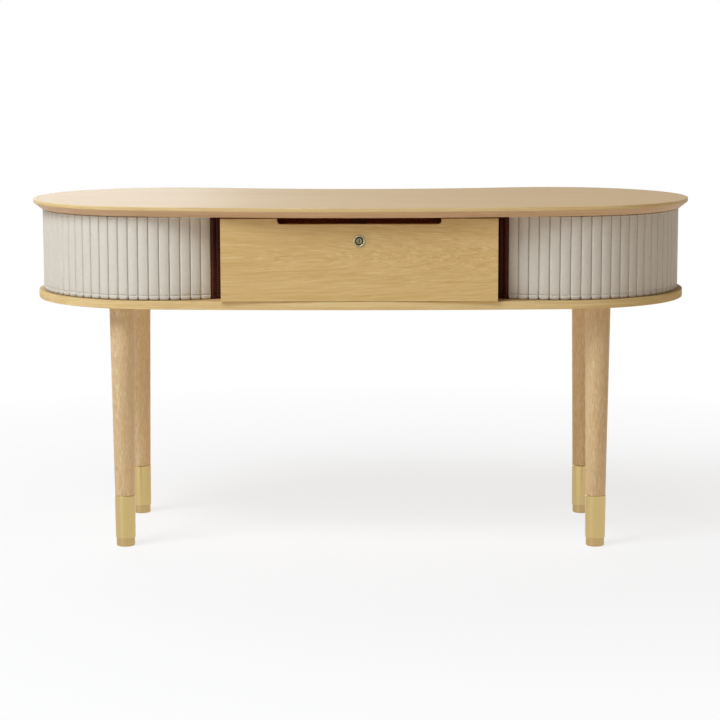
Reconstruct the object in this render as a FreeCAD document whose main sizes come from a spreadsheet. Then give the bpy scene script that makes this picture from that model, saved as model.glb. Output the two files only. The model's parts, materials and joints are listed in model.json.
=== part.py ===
"""Kidney-shaped writing desk with two tambour cupboards, a locking drawer and four brass-shod legs.

The plan is four tangent arcs: two round ends, a long convex front and a hollow back.
X runs along the desk, -Y is the front where the sitter is, Z is up and the floor is at zero.
Lengths are millimetres and angles are degrees. Drum angles start at the front of a round end
and grow towards the outer end of the desk.
"""
import FreeCAD, Part
import math
import os
import Sketcher

SIZES = {
    # whole desk
    "desk_width": 1480,
    "desk_height": 760,
    "end_radius": 302,
    "front_bulge": 46,
    "back_hollow": 62,
    "case_clear": 182.5,
    # table top
    "top_thickness": 22,
    "bevel_height": 14,
    "bevel_inset": 18,
    "bevel_arris": 3,
    "top_arris": 1.5,
    # base board
    "base_thickness": 18,
    "base_reveal": 10,
    "base_bulge": 16,
    "base_arris": 1.5,
    # tambour slats and their track
    "tambour_inset": 22,
    "slat_angle": 4.7,
    "slat_count": 29,
    "slat_thickness": 7.5,
    "slat_edge_radius": 2.5,
    "slat_edge_angle": 12,
    "slat_gap": 0.4,
    "slat_end_gap": 1,
    "tongue_setback": 2.5,
    "tongue_thickness": 4,
    "tongue_length": 7,
    "groove_depth": 8,
    "track_clearance": 0.8,
    "track_start_angle": -31,
    "track_end_angle": 194,
    "cloth_thickness": 1,
    "cloth_margin": 5,
    # leading edge of each tambour
    "lead_angle": -30,
    "first_slat_angle": -24.5,
    "leather_thickness": 1.5,
    "leather_rib": 12.5,
    # walls of the round cupboards
    "liner_gap": 5.5,
    "liner_thickness": 4,
    "liner_start_angle": 52,
    "shell_start_angle": 105,
    "shell_setback": 2,
    "shell_thickness": 6,
    "post_angle": 4.5,
    "panel_clearance": 0.3,
    # partitions beside the drawer
    "partition_thickness": 16,
    "partition_gap": 2.5,
    "partition_screw_inset": 60,
    "screw_head_diameter": 11,
    "screw_head_height": 4,
    "screw_shank_diameter": 5,
    "screw_length": 48,
    "screw_clearance": 0.1,
    # drawer
    "front_thickness": 18,
    "front_overlap": 2.5,
    "front_lower_gap": 0.8,
    "front_upper_gap": 3,
    "front_back_gap": 1,
    "front_arris": 0.8,
    "slot_land": 122,
    "slot_depth": 12,
    "slot_corner": 7,
    "drawer_rear_room": 82,
    "drawer_side_height": 124,
    "drawer_floor_gap": 10,
    "drawer_wall": 12,
    "drawer_bottom_thickness": 6,
    "drawer_bottom_rise": 10,
    "drawer_groove_depth": 6,
    "drawer_groove_clearance": 0.1,
    # telescopic runners
    "runner_space": 13,
    "runner_height": 45,
    "runner_wall": 1.5,
    "runner_clearance": 0.4,
    "runner_side_gap": 1,
    "runner_rear_inset": 6,
    "runner_inset": 4,
    "runner_rise": 62,
    # cam lock
    "lock_drop": 48,
    "lock_rim_diameter": 25,
    "lock_rim_height": 3,
    "lock_rim_chamfer": 1.2,
    "lock_barrel_diameter": 18.6,
    "lock_hole_clearance": 0.2,
    "lock_bore_diameter": 13.2,
    "lock_plug_clearance": 0.3,
    "lock_plug_recess": 0.5,
    "lock_tail_diameter": 8,
    "lock_tail_length": 7,
    "lock_barrel_overhang": 8,
    "keyway_width": 2,
    "keyway_height": 8.5,
    "keyway_depth": 9,
    "lock_nut_width": 26,
    "lock_nut_height": 5,
    "cam_length": 44,
    "cam_width": 14,
    "cam_thickness": 2.5,
    "cam_gap": 0.3,
    "cam_nut_width": 13,
    "cam_nut_height": 3,
    "strike_width": 30,
    "strike_thickness": 2,
    "strike_drop": 26,
    "strike_mortise": 6,
    "strike_gap": 1.2,
    # legs, ferrules and levelling feet
    "leg_end_inset": 208.5,
    "leg_front_inset": 80,
    "leg_rear_inset": 147,
    "leg_top_diameter": 57,
    "ferrule_top_diameter": 45.5,
    "ferrule_bottom_diameter": 44,
    "ferrule_height": 95,
    "ferrule_wall": 1.8,
    "ferrule_floor": 3,
    "ferrule_chamfer": 0.6,
    "leg_chamfer": 0.6,
    "spigot_clearance": 0.1,
    "foot_height": 19,
    "foot_diameter": 41,
    "foot_round": 3,
    "stud_diameter": 10,
    "stud_length": 34,
    "stud_clearance": 0.4,
    "stud_hole_spare": 6,
    "leg_bolt_diameter": 8,
    "leg_bolt_depth": 40,
    "leg_bolt_clearance": 0.1,
    "nut_flange_diameter": 21,
    "nut_flange_height": 2,
    "nut_barrel_diameter": 11,
    "nut_barrel_height": 13,
    # how far every cut runs past the face it opens
    "overrun": 2,
}

ORIGIN_GEOMETRY = -1
POINT_START, POINT_END, POINT_CENTRE = range(1, 4)
STRAIGHT = None
LEFT_TURN = 1
RIGHT_TURN = -1
LEFT_SIDE = -1
RIGHT_SIDE = 1
SIDES = {"left": LEFT_SIDE, "right": RIGHT_SIDE}
UP = FreeCAD.Vector(0, 0, 1)
FULL_TURN = 360
HEX_SIDES = 6

doc = FreeCAD.newDocument("kidney_desk")
sheet = doc.addObject("Spreadsheet::Sheet", "Sizes")
places = doc.addObject("Spreadsheet::Sheet", "Places")


class Size:
    """A number that remembers the spreadsheet formula it comes from."""

    def __init__(self, value, formula):
        self.value = value
        self.formula = formula

    def combine(self, other, sign, value):
        return Size(value, f"({self.formula} {sign} {other.formula})")

    def __add__(self, other):
        other = as_size(other)
        return self.combine(other, "+", self.value + other.value)

    def __sub__(self, other):
        other = as_size(other)
        return self.combine(other, "-", self.value - other.value)

    def __mul__(self, other):
        other = as_size(other)
        return self.combine(other, "*", self.value * other.value)

    def __truediv__(self, other):
        other = as_size(other)
        return self.combine(other, "/", self.value / other.value)

    def __neg__(self):
        return Size(-self.value, f"(-1 * {self.formula})")

    def __radd__(self, other):
        return as_size(other) + self

    def __rsub__(self, other):
        return as_size(other) - self

    def __rmul__(self, other):
        return as_size(other) * self


def as_size(number):
    """Plain numbers such as 2 or -1 stand for themselves in a formula."""
    if isinstance(number, Size):
        return number
    return Size(number, f"({number})")


def sine(angle):
    angle = as_size(angle)
    return Size(math.sin(math.radians(angle.value)), f"sin({angle.formula})")


def cosine(angle):
    angle = as_size(angle)
    return Size(math.cos(math.radians(angle.value)), f"cos({angle.formula})")


def tangent(angle):
    return sine(angle) / cosine(angle)


def root(size):
    return Size(math.sqrt(size.value), f"sqrt({size.formula})")


def fill_cell(target, row, alias, content):
    """Name in column A, content in column B, and the name again as the cell's alias."""
    target.set(f"A{row}", alias)
    target.set(f"B{row}", content)
    target.setAlias(f"B{row}", alias)


def driving(alias):
    return Size(SIZES[alias], f"Sizes.{alias}")


derived_names = []


def derived(alias, size):
    """A worked-out size gets a cell of its own, so later formulas can name it."""
    derived_names.append(alias)
    fill_cell(places, len(derived_names), alias, "=" + size.formula)
    return Size(size.value, f"Places.{alias}")


for sheet_row, (size_alias, size_value) in enumerate(SIZES.items(), start=1):
    fill_cell(sheet, sheet_row, size_alias, str(size_value))
doc.recompute()

given = {alias: driving(alias) for alias in SIZES}
ZERO = as_size(0)


# Heights, from the table top down
soffit = derived("soffit", given["desk_height"] - given["top_thickness"])
base_top = derived("base_top", soffit - given["case_clear"])
base_bottom = derived("base_bottom", base_top - given["base_thickness"])

# Plan of the four arcs: lobe centres, front arc and hollow back arc
lobe_x = derived("lobe_x", given["desk_width"] / 2 - given["end_radius"])
lobe_y = derived("lobe_y", given["front_bulge"] / 2)
hollow_chord = derived("hollow_chord", 2 * given["end_radius"] - given["back_hollow"])
hollow_radius = derived(
    "hollow_radius",
    (lobe_x * lobe_x / given["back_hollow"] - hollow_chord) / 2,
)
hollow_reach = derived("hollow_reach", hollow_radius + given["end_radius"])
hollow_y = derived("hollow_y", hollow_radius + given["end_radius"] - given["back_hollow"])
hollow_sine = derived("hollow_sine", lobe_x / hollow_reach)
hollow_cosine = derived("hollow_cosine", hollow_y / hollow_reach)

# Radii of everything that curves about the axis of a round end
base_radius = derived("base_radius", given["end_radius"] - given["base_reveal"])
slat_face = derived("slat_face", given["end_radius"] - given["tambour_inset"])
slat_back = derived("slat_back", slat_face - given["slat_thickness"])
tongue_outer = derived("tongue_outer", slat_face - given["tongue_setback"])
tongue_inner = derived("tongue_inner", tongue_outer - given["tongue_thickness"])
groove_outer = derived("groove_outer", tongue_outer + given["track_clearance"])
groove_inner = derived("groove_inner", tongue_inner - given["track_clearance"])
cloth_inner = derived("cloth_inner", slat_back - given["cloth_thickness"])
liner_outer = derived("liner_outer", cloth_inner - given["liner_gap"])
liner_inner = derived("liner_inner", liner_outer - given["liner_thickness"])
shell_outer = derived("shell_outer", base_radius - given["shell_setback"])
shell_inner = derived("shell_inner", shell_outer - given["shell_thickness"])

# Inner face of the hollow back panel, in the middle of the desk
back_face_radius = derived("back_face_radius", hollow_reach - shell_inner)
back_face_y = derived("back_face_y", lobe_y + hollow_y - back_face_radius)

# Planes of the partitions and the drawer
lead_x = derived("lead_x", lobe_x + slat_face * sine(given["lead_angle"]))
partition_outer = derived("partition_outer", lead_x - given["partition_gap"])
partition_inner = derived("partition_inner", partition_outer - given["partition_thickness"])
face_y = derived("face_y", lobe_y - base_radius - given["base_bulge"])
front_back_y = derived("front_back_y", face_y + given["front_thickness"])
front_half = derived("front_half", partition_outer + given["front_overlap"])
front_bottom = derived("front_bottom", base_top + given["front_lower_gap"])
front_top = derived("front_top", soffit - given["front_upper_gap"])
box_half = derived("box_half", partition_inner - given["runner_space"])
box_bottom = derived("box_bottom", base_top + given["drawer_floor_gap"])
box_top = derived("box_top", box_bottom + given["drawer_side_height"])
box_back_y = derived("box_back_y", back_face_y - given["drawer_rear_room"])
floor_low = derived("floor_low", box_bottom + given["drawer_bottom_rise"])
floor_high = derived("floor_high", floor_low + given["drawer_bottom_thickness"])
lock_z = derived("lock_z", front_top - given["lock_drop"])

# Legs stand in from the end, front and back of each round end of the base board
leg_x = derived("leg_x", lobe_x + base_radius - given["leg_end_inset"])
leg_front_y = derived("leg_front_y", lobe_y - base_radius + given["leg_front_inset"])
leg_rear_y = derived("leg_rear_y", lobe_y + base_radius - given["leg_rear_inset"])
LEG_SPOTS = {
    "front_left": (-leg_x, leg_front_y),
    "front_right": (leg_x, leg_front_y),
    "rear_left": (-leg_x, leg_rear_y),
    "rear_right": (leg_x, leg_rear_y),
}


def bind(target, path, size):
    target.setExpression(path, size.formula)


def new_body(label, spot=None, turn=None):
    """A body at its spot (x, y, z), turned about its own upright axis."""
    body = doc.addObject("PartDesign::Body", label)
    body.Label = label
    if spot:
        for letter, size in zip("xyz", spot):
            bind(body, f"Placement.Base.{letter}", size)
    if turn:
        bind(body, "Placement.Rotation.Angle", turn)
    return body


def origin_feature(body, role):
    return next(feature for feature in body.Origin.OriginFeatures if feature.Role == role)


def new_sketch(body, role, offset):
    """An empty sketch parallel to one of the body's own planes."""
    sketch = body.newObject("Sketcher::SketchObject", body.Label + "_sketch")
    sketch.AttachmentSupport = [(origin_feature(body, role), "")]
    sketch.MapMode = "FlatFace"
    bind(sketch, "AttachmentOffset.Base.z", offset)
    return sketch


def flat(point):
    return FreeCAD.Vector(point[0].value, point[1].value, 0)


def arc_between(start, finish, radius, turn):
    """The short arc of a given radius; a left turn has its centre left of the way from start to finish."""
    chord = finish - start
    half = chord.Length / 2
    rise = math.sqrt(max(radius * radius - half * half, 0))
    across = FreeCAD.Vector(-chord.y, chord.x, 0).normalize()
    centre = (start + finish) / 2 + across * (turn * rise)
    circle = Part.Circle(centre, UP, radius)
    first, last = (start, finish) if turn == LEFT_TURN else (finish, start)
    return Part.ArcOfCircle(circle, circle.parameter(first), circle.parameter(last))


def draw_outline(sketch, points, sides):
    """Closed outline with a side from each point to the next, straight or (radius, turn)."""
    ends = []
    radii = []
    for index, side in enumerate(sides):
        start = flat(points[index])
        finish = flat(points[(index + 1) % len(points)])
        if side is STRAIGHT:
            number = sketch.addGeometry(Part.LineSegment(start, finish))
            ends.append((number, POINT_START, POINT_END))
            continue
        radius, turn = side
        number = sketch.addGeometry(arc_between(start, finish, radius.value, turn))
        radii.append((number, radius))
        if turn == LEFT_TURN:
            ends.append((number, POINT_START, POINT_END))
        else:
            ends.append((number, POINT_END, POINT_START))
    for index, (number, first, last) in enumerate(ends):
        next_number, next_first, _ = ends[(index + 1) % len(ends)]
        sketch.addConstraint(Sketcher.Constraint("Coincident", number, last, next_number, next_first))
        place_point(sketch, number, first, points[index])
    for number, radius in radii:
        bind_constraint(sketch, Sketcher.Constraint("Radius", number, radius.value), radius)


def draw_circle(sketch, centre, diameter):
    number = sketch.addGeometry(Part.Circle(flat(centre), UP, diameter.value / 2))
    place_point(sketch, number, POINT_CENTRE, centre)
    bind_constraint(sketch, Sketcher.Constraint("Diameter", number, diameter.value), diameter)


def place_point(sketch, number, end, point):
    """Both coordinates of a point are measured from the sketch's origin."""
    for kind, size in zip(("DistanceX", "DistanceY"), point):
        constraint = Sketcher.Constraint(kind, ORIGIN_GEOMETRY, POINT_START, number, end, size.value)
        bind_constraint(sketch, constraint, size)


def bind_constraint(sketch, constraint, size):
    index = sketch.addConstraint(constraint)
    bind(sketch, f"Constraints[{index}]", size)


def fill_sketch(body, role, offset, outlines, circles):
    sketch = new_sketch(body, role, offset)
    for points, sides in outlines:
        draw_outline(sketch, points, sides)
    for centre, diameter in circles:
        draw_circle(sketch, centre, diameter)
    return sketch


def pad(body, role, low, high, outlines=(), circles=()):
    """Material from low to high along the normal axis of the plane."""
    offset = -high if role == "XZ_Plane" else low
    feature = body.newObject("PartDesign::Pad", body.Label + "_pad")
    feature.Profile = fill_sketch(body, role, offset, outlines, circles)
    bind(feature, "Length", high - low)
    return feature


def cut(body, role, low, high, outlines=(), circles=()):
    """Material taken away from low to high along the normal axis of the plane."""
    offset = -low if role == "XZ_Plane" else high
    feature = body.newObject("PartDesign::Pocket", body.Label + "_cut")
    feature.Profile = fill_sketch(body, role, offset, outlines, circles)
    bind(feature, "Length", high - low)
    return feature


def edges_between(feature, axis, low, high):
    """Names of the edges that lie wholly between two levels along an axis."""
    names = []
    for number, edge in enumerate(feature.Shape.Edges, start=1):
        box = edge.BoundBox
        lowest, highest = getattr(box, axis + "Min"), getattr(box, axis + "Max")
        if lowest > low.value and highest < high.value:
            names.append(f"Edge{number}")
    if not names:
        raise RuntimeError(f"{feature.Label} has no edges from {low.value} to {high.value}")
    return names


def round_edges(body, axis, low, high, radius):
    """Softens every edge of the body so far that lies between two levels."""
    doc.recompute()
    feature = body.newObject("PartDesign::Fillet", body.Label + "_arris")
    blank = feature.BaseFeature
    feature.Base = (blank, edges_between(blank, axis, low, high))
    bind(feature, "Radius", radius)
    doc.recompute()


def revolve(body, role, outline):
    """A turned piece: the outline's first coordinate is the radius, the second runs along the axis."""
    sketch = fill_sketch(body, role, ZERO, [outline], [])
    feature = body.newObject("PartDesign::Revolution", body.Label + "_turning")
    feature.Profile = sketch
    feature.ReferenceAxis = (sketch, ["V_Axis"])
    feature.Angle = FULL_TURN
    return feature


def polygon(*points):
    return list(points), [STRAIGHT] * len(points)


def rectangle(low_x, low_y, high_x, high_y):
    return polygon((low_x, low_y), (high_x, low_y), (high_x, high_y), (low_x, high_y))


def hexagon(centre, width):
    """Six corners round a centre, with the given distance across the flats."""
    reach = width / 2 / cosine(FULL_TURN / HEX_SIDES / 2)
    corners = []
    for number in range(HEX_SIDES):
        angle = number * FULL_TURN / HEX_SIDES
        corners.append((centre[0] + reach * cosine(angle), centre[1] + reach * sine(angle)))
    return polygon(*corners)


def kidney(radius, bulge):
    """Plan outline whose round ends have this radius and whose front stands this far ahead of them."""
    front_y = (lobe_x * lobe_x - bulge * bulge) / (2 * bulge)
    front_radius = front_y + radius + bulge
    front_reach = front_y + bulge
    touch_x = lobe_x + radius * lobe_x / front_reach
    touch_y = lobe_y - radius * front_y / front_reach
    back_x = lobe_x - radius * hollow_sine
    back_y = lobe_y + radius * hollow_cosine
    tip_x = lobe_x + radius
    points = [
        (touch_x, touch_y),
        (tip_x, lobe_y),
        (back_x, back_y),
        (-back_x, back_y),
        (-tip_x, lobe_y),
        (-touch_x, touch_y),
    ]
    end = (radius, LEFT_TURN)
    hollow = (hollow_reach - radius, RIGHT_TURN)
    return points, [end, end, hollow, end, end, (front_radius, LEFT_TURN)]


def on_drum(side, radius, angle):
    """Point of a round end at a radius and a drum angle."""
    return side * (lobe_x + radius * sine(angle)), lobe_y - radius * cosine(angle)


def back_touch(side, radius):
    """Point where a round end of this radius runs into the hollow back."""
    return side * (lobe_x - radius * hollow_sine), lobe_y + radius * hollow_cosine


def drum_band(side, inner, outer, start_angle, middle_angle, inner_end, outer_end):
    """Outline of a bent wall about a round end, from a square start to two given end points."""
    points = [
        on_drum(side, outer, start_angle),
        on_drum(side, outer, middle_angle),
        outer_end,
        inner_end,
        on_drum(side, inner, middle_angle),
        on_drum(side, inner, start_angle),
    ]
    forward = (outer, LEFT_TURN * side)
    backward = (inner, RIGHT_TURN * side)
    return points, [forward, forward, STRAIGHT, backward, backward, STRAIGHT]


def drum_sector(side, inner, outer, start, finish):
    """A bent wall cut square at both ends, between two drum angles."""
    ends = (on_drum(side, inner, finish), on_drum(side, outer, finish))
    return drum_band(side, inner, outer, start, (start + finish) / 2, *ends)


def leg_circles(diameter):
    return [(spot, diameter) for spot in LEG_SPOTS.values()]


def partition_screws(diameter):
    """Three screws along each partition, seen in plan."""
    middle_x = (partition_outer + partition_inner) / 2
    first_y = front_back_y + given["partition_screw_inset"]
    last_y = partition_rear - given["partition_screw_inset"]
    rows = (first_y, (first_y + last_y) / 2, last_y)
    return [((side * middle_x, row), diameter) for side in SIDES.values() for row in rows]


# The partitions end just short of the hollow back panel
partition_rear = derived(
    "partition_rear",
    lobe_y + hollow_y - root(back_face_radius * back_face_radius - partition_inner * partition_inner)
    - given["panel_clearance"],
)


def make_top_panel():
    """Table top: upright edge band, wide bevel below it, and a groove for each tambour underneath."""
    body = new_body("top_panel")
    pad(body, "XY_Plane", soffit, given["desk_height"], [kidney(given["end_radius"], given["front_bulge"])])
    doc.recompute()
    band_low = soffit + given["bevel_height"]
    blank = body.Tip
    bevel = body.newObject("PartDesign::Chamfer", "top_panel_bevel")
    bevel.Base = (blank, edges_between(blank, "Z", soffit - given["overrun"], band_low))
    bevel.ChamferType = "Two distances"
    bind(bevel, "Size", given["bevel_height"])
    bind(bevel, "Size2", given["bevel_inset"])
    above = given["desk_height"] + given["overrun"]
    band_middle = (band_low + given["desk_height"]) / 2
    round_edges(body, "Z", band_middle, above, given["top_arris"])
    round_edges(body, "Z", soffit + given["bevel_height"] / 2, band_middle, given["bevel_arris"])
    grooves = [track_outline(side) for side in SIDES.values()]
    cut(body, "XY_Plane", soffit - given["overrun"], soffit + given["groove_depth"], grooves)
    strike = strike_outline(given["screw_clearance"])
    cut(body, "XY_Plane", soffit - given["overrun"], soffit + given["strike_mortise"], [strike])


def track_outline(side):
    angles = (given["track_start_angle"], given["track_end_angle"])
    return drum_sector(side, groove_inner, groove_outer, *angles)


def strike_front_y():
    """The strike hangs just in front of the raised lock cam."""
    return cam_front_y - given["strike_gap"] - given["strike_thickness"]


def strike_outline(clearance):
    half = given["strike_width"] / 2 + clearance
    front = strike_front_y()
    return rectangle(-half, front - clearance, half, front + given["strike_thickness"] + clearance)


def make_base_panel():
    """Base board: same plan, smaller, with the lower grooves, leg fixings and partition screws."""
    body = new_body("base_panel")
    pad(body, "XY_Plane", base_bottom, base_top, [kidney(base_radius, given["base_bulge"])])
    above = base_top + given["overrun"]
    below = base_bottom - given["overrun"]
    middle = (base_top + base_bottom) / 2
    round_edges(body, "Z", middle, above, given["base_arris"])
    round_edges(body, "Z", below, middle, given["base_arris"])
    grooves = [track_outline(side) for side in SIDES.values()]
    cut(body, "XY_Plane", base_top - given["groove_depth"], above, grooves)
    clearance = 2 * given["screw_clearance"]
    cut(body, "XY_Plane", below, above, circles=leg_circles(given["nut_barrel_diameter"] + clearance))
    recess = base_top - given["nut_flange_height"]
    cut(body, "XY_Plane", recess, above, circles=leg_circles(given["nut_flange_diameter"] + clearance))
    cut(body, "XY_Plane", below, above, circles=partition_screws(given["screw_shank_diameter"] + clearance))
    head = base_bottom + given["screw_head_height"]
    cut(body, "XY_Plane", below, head, circles=partition_screws(given["screw_head_diameter"] + clearance))


def make_partition(name, side):
    """Upright board between a round cupboard and the drawer, drilled for its screws."""
    body = new_body(f"partition_{name}")
    faces = sorted((side * partition_inner, side * partition_outer), key=lambda size: size.value)
    front = front_back_y + given["front_back_gap"]
    outline = rectangle(faces[0], front, faces[1], partition_rear)
    pad(body, "XY_Plane", base_top, soffit, [outline])
    pilot = given["screw_shank_diameter"] + 2 * given["screw_clearance"]
    holes = [hole for hole in partition_screws(pilot) if hole[0][0].value * side > 0]
    depth = base_bottom + given["screw_length"] + given["overrun"]
    cut(body, "XY_Plane", base_top - given["overrun"], depth, circles=holes)


def make_partition_screws():
    body = new_body("partition_screws")
    head = base_bottom + given["screw_head_height"]
    pad(body, "XY_Plane", base_bottom, head, circles=partition_screws(given["screw_head_diameter"]))
    end = base_bottom + given["screw_length"]
    pad(body, "XY_Plane", base_bottom, end, circles=partition_screws(given["screw_shank_diameter"]))


def make_back_panel():
    """Hollow middle of the back, between the two bent shells."""
    body = new_body("back_panel")
    outer_radius = hollow_reach - shell_outer
    points = [
        back_touch(LEFT_SIDE, shell_inner),
        back_touch(RIGHT_SIDE, shell_inner),
        back_touch(RIGHT_SIDE, shell_outer),
        back_touch(LEFT_SIDE, shell_outer),
    ]
    sides = [(back_face_radius, LEFT_TURN), STRAIGHT, (outer_radius, RIGHT_TURN), STRAIGHT]
    pad(body, "XY_Plane", base_top, soffit, [(points, sides)])


def make_back_shell(name, side):
    """Bent outer wall of a round end; the open tambour slides in behind it."""
    body = new_body(f"back_shell_{name}")
    ends = (back_touch(side, shell_inner), back_touch(side, shell_outer))
    middle = (given["shell_start_angle"] + given["track_end_angle"]) / 2
    outline = drum_band(side, shell_inner, shell_outer, given["shell_start_angle"], middle, *ends)
    pad(body, "XY_Plane", base_top, soffit, [outline])


def make_back_post(name, side):
    """Upright block that joins shell and back panel and stops the open tambour."""
    body = new_body(f"back_post_{name}")
    inner = liner_outer + given["panel_clearance"]
    outer = shell_inner - given["panel_clearance"]
    start = given["track_end_angle"]
    outline = drum_sector(side, inner, outer, start, start + given["post_angle"])
    pad(body, "XY_Plane", base_top, soffit, [outline])


def make_liner(name, side):
    """Thin bent wall inside the track, from the open tambour's edge round to the partition."""
    body = new_body(f"cupboard_liner_{name}")
    end_x = partition_outer + given["panel_clearance"]
    run = lobe_x - end_x
    radii = (liner_inner, liner_outer)
    ends = [(side * end_x, lobe_y + root(radius * radius - run * run)) for radius in radii]
    middle = (given["liner_start_angle"] + given["track_end_angle"]) / 2
    outline = drum_band(side, liner_inner, liner_outer, given["liner_start_angle"], middle, *ends)
    pad(body, "XY_Plane", base_top, soffit, [outline])


slat_low = derived("slat_low", base_top + given["slat_end_gap"])
slat_high = derived("slat_high", soffit - given["slat_end_gap"])
tongue_low = derived("tongue_low", base_top - given["tongue_length"])
tongue_high = derived("tongue_high", soffit + given["tongue_length"])


def drum_spot(side):
    return side * lobe_x, lobe_y, ZERO


def slat_half(radius, angle):
    """Half the width that a slat may fill at a radius, leaving its share of the gap."""
    return radius * tangent(angle / 2) - given["slat_gap"] / 2


def make_slats(name, side):
    """Crowned slats with soft edges and a tongue at each end, in a ring about the axis of the round end."""
    turn = side * (given["first_slat_angle"] + given["slat_angle"] / 2)
    body = new_body(f"tambour_slats_{name}", drum_spot(side), turn)
    edge = given["slat_edge_radius"]
    shoulder = slat_face - edge * cosine(given["slat_edge_angle"])
    half = slat_half(shoulder, given["slat_angle"])
    crown_half = half - edge + edge * sine(given["slat_edge_angle"])
    back = slat_half(slat_back, given["slat_angle"])
    points = [
        (-half, -shoulder),
        (-crown_half, -slat_face),
        (crown_half, -slat_face),
        (half, -shoulder),
        (back, -slat_back),
        (-back, -slat_back),
    ]
    soft = (edge, LEFT_TURN)
    crown = (crown_half / sine(given["slat_edge_angle"]), LEFT_TURN)
    sides = [soft, crown, soft, STRAIGHT, STRAIGHT, STRAIGHT]
    slat = pad(body, "XY_Plane", slat_low, slat_high, [(points, sides)])
    tongue = rectangle(-back, -tongue_outer, back, -tongue_inner)
    tongues = pad(body, "XY_Plane", tongue_low, tongue_high, [tongue])
    doc.recompute()
    ring = body.newObject("PartDesign::PolarPattern", body.Label + "_ring")
    ring.Originals = [slat, tongues]
    ring.Axis = (origin_feature(body, "Z_Axis"), [""])
    ring.Reversed = side == LEFT_SIDE
    bind(ring, "Angle", (given["slat_count"] - 1) * given["slat_angle"])
    bind(ring, "Occurrences", given["slat_count"])
    body.Tip = ring


def make_cloth(name, side):
    """Cloth glued across the backs of the slats."""
    body = new_body(f"tambour_cloth_{name}")
    tail = given["first_slat_angle"] + given["slat_count"] * given["slat_angle"]
    outline = drum_sector(side, cloth_inner, slat_back, given["first_slat_angle"], tail)
    pad(body, "XY_Plane", slat_low + given["cloth_margin"], slat_high - given["cloth_margin"], [outline])


lead_width_angle = derived("lead_width_angle", given["first_slat_angle"] - given["lead_angle"])
lead_turn = derived("lead_turn", (given["first_slat_angle"] + given["lead_angle"]) / 2)
bar_half = derived("bar_half", slat_half(slat_back, lead_width_angle) - given["leather_thickness"])


def make_lead_bar(name, side):
    """Flat bar that stiffens the leading edge and runs in the track like a slat."""
    body = new_body(f"tambour_lead_bar_{name}", drum_spot(side), side * lead_turn)
    outline = rectangle(-bar_half, -tongue_outer, bar_half, -tongue_inner)
    pad(body, "XY_Plane", tongue_low, tongue_high, [outline])


def make_lead_leather(name, side):
    """Leather sleeve round the bar, stitched into two ribs that serve as the finger grip."""
    body = new_body(f"tambour_lead_leather_{name}", drum_spot(side), side * lead_turn)
    face = slat_half(slat_face, lead_width_angle)
    back = slat_half(slat_back, lead_width_angle)
    rib = (given["leather_rib"], LEFT_TURN)
    points = [
        (-face, -slat_face),
        (ZERO, -slat_face),
        (face, -slat_face),
        (back, -slat_back),
        (-back, -slat_back),
    ]
    bar = rectangle(-bar_half, -tongue_outer, bar_half, -tongue_inner)
    sleeve = (points, [rib, rib, STRAIGHT, STRAIGHT, STRAIGHT])
    pad(body, "XY_Plane", slat_low, slat_high, [sleeve, bar])


barrel_end_y = derived("barrel_end_y", front_back_y + given["lock_barrel_overhang"])
cam_front_y = derived("cam_front_y", barrel_end_y + given["cam_gap"])
cam_back_y = derived("cam_back_y", cam_front_y + given["cam_thickness"])
LOCK_SPOT = (ZERO, ZERO, lock_z)


def make_drawer_front():
    """Flat overlay front with a finger slot in its upper edge, a lock hole and a groove for the bottom."""
    body = new_body("drawer_front")
    half = front_half - given["slot_land"]
    sill = front_top - given["slot_depth"]
    corner = given["slot_corner"]
    points = [
        (-front_half, front_bottom),
        (front_half, front_bottom),
        (front_half, front_top),
        (half, front_top),
        (half, sill + corner),
        (half - corner, sill),
        (corner - half, sill),
        (-half, sill + corner),
        (-half, front_top),
        (-front_half, front_top),
    ]
    sides = [STRAIGHT] * len(points)
    sides[4] = (corner, RIGHT_TURN)
    sides[6] = (corner, RIGHT_TURN)
    pad(body, "XZ_Plane", face_y, front_back_y, [(points, sides)])
    before = face_y - given["overrun"]
    after = front_back_y + given["overrun"]
    round_edges(body, "Y", before, (face_y + front_back_y) / 2, given["front_arris"])
    hole = ((ZERO, lock_z), given["lock_barrel_diameter"] + 2 * given["lock_hole_clearance"])
    cut(body, "XZ_Plane", before, after, circles=[hole])
    groove = bottom_groove(box_half - given["drawer_wall"] + given["drawer_groove_depth"])
    groove_end = front_back_y - given["drawer_groove_depth"]
    cut(body, "XZ_Plane", groove_end, after, [groove])


def bottom_groove(half):
    clearance = given["drawer_groove_clearance"]
    return rectangle(-half - clearance, floor_low - clearance, half + clearance, floor_high + clearance)


def make_drawer_side(name, side):
    """Drawer side, grooved along its inner face for the bottom."""
    body = new_body(f"drawer_side_{name}")
    outer = side * box_half
    inner = side * (box_half - given["drawer_wall"])
    low, high = sorted((outer, inner), key=lambda size: size.value)
    pad(body, "XZ_Plane", front_back_y, box_back_y, [rectangle(low, box_bottom, high, box_top)])
    groove = bottom_groove(box_half - given["drawer_wall"] + given["drawer_groove_depth"])
    cut(body, "XZ_Plane", front_back_y - given["overrun"], box_back_y + given["overrun"], [groove])


def make_drawer_back():
    """Back board between the sides, standing on the drawer bottom."""
    body = new_body("drawer_back")
    half = box_half - given["drawer_wall"]
    outline = rectangle(-half, floor_high + given["drawer_groove_clearance"], half, box_top)
    pad(body, "XZ_Plane", box_back_y - given["drawer_wall"], box_back_y, [outline])


def make_drawer_bottom():
    body = new_body("drawer_bottom")
    half = box_half - given["drawer_wall"] + given["drawer_groove_depth"]
    front = front_back_y - given["drawer_groove_depth"] + given["drawer_groove_clearance"]
    outline = rectangle(-half, front, half, box_back_y)
    pad(body, "XY_Plane", floor_low, floor_high, [outline])


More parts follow.
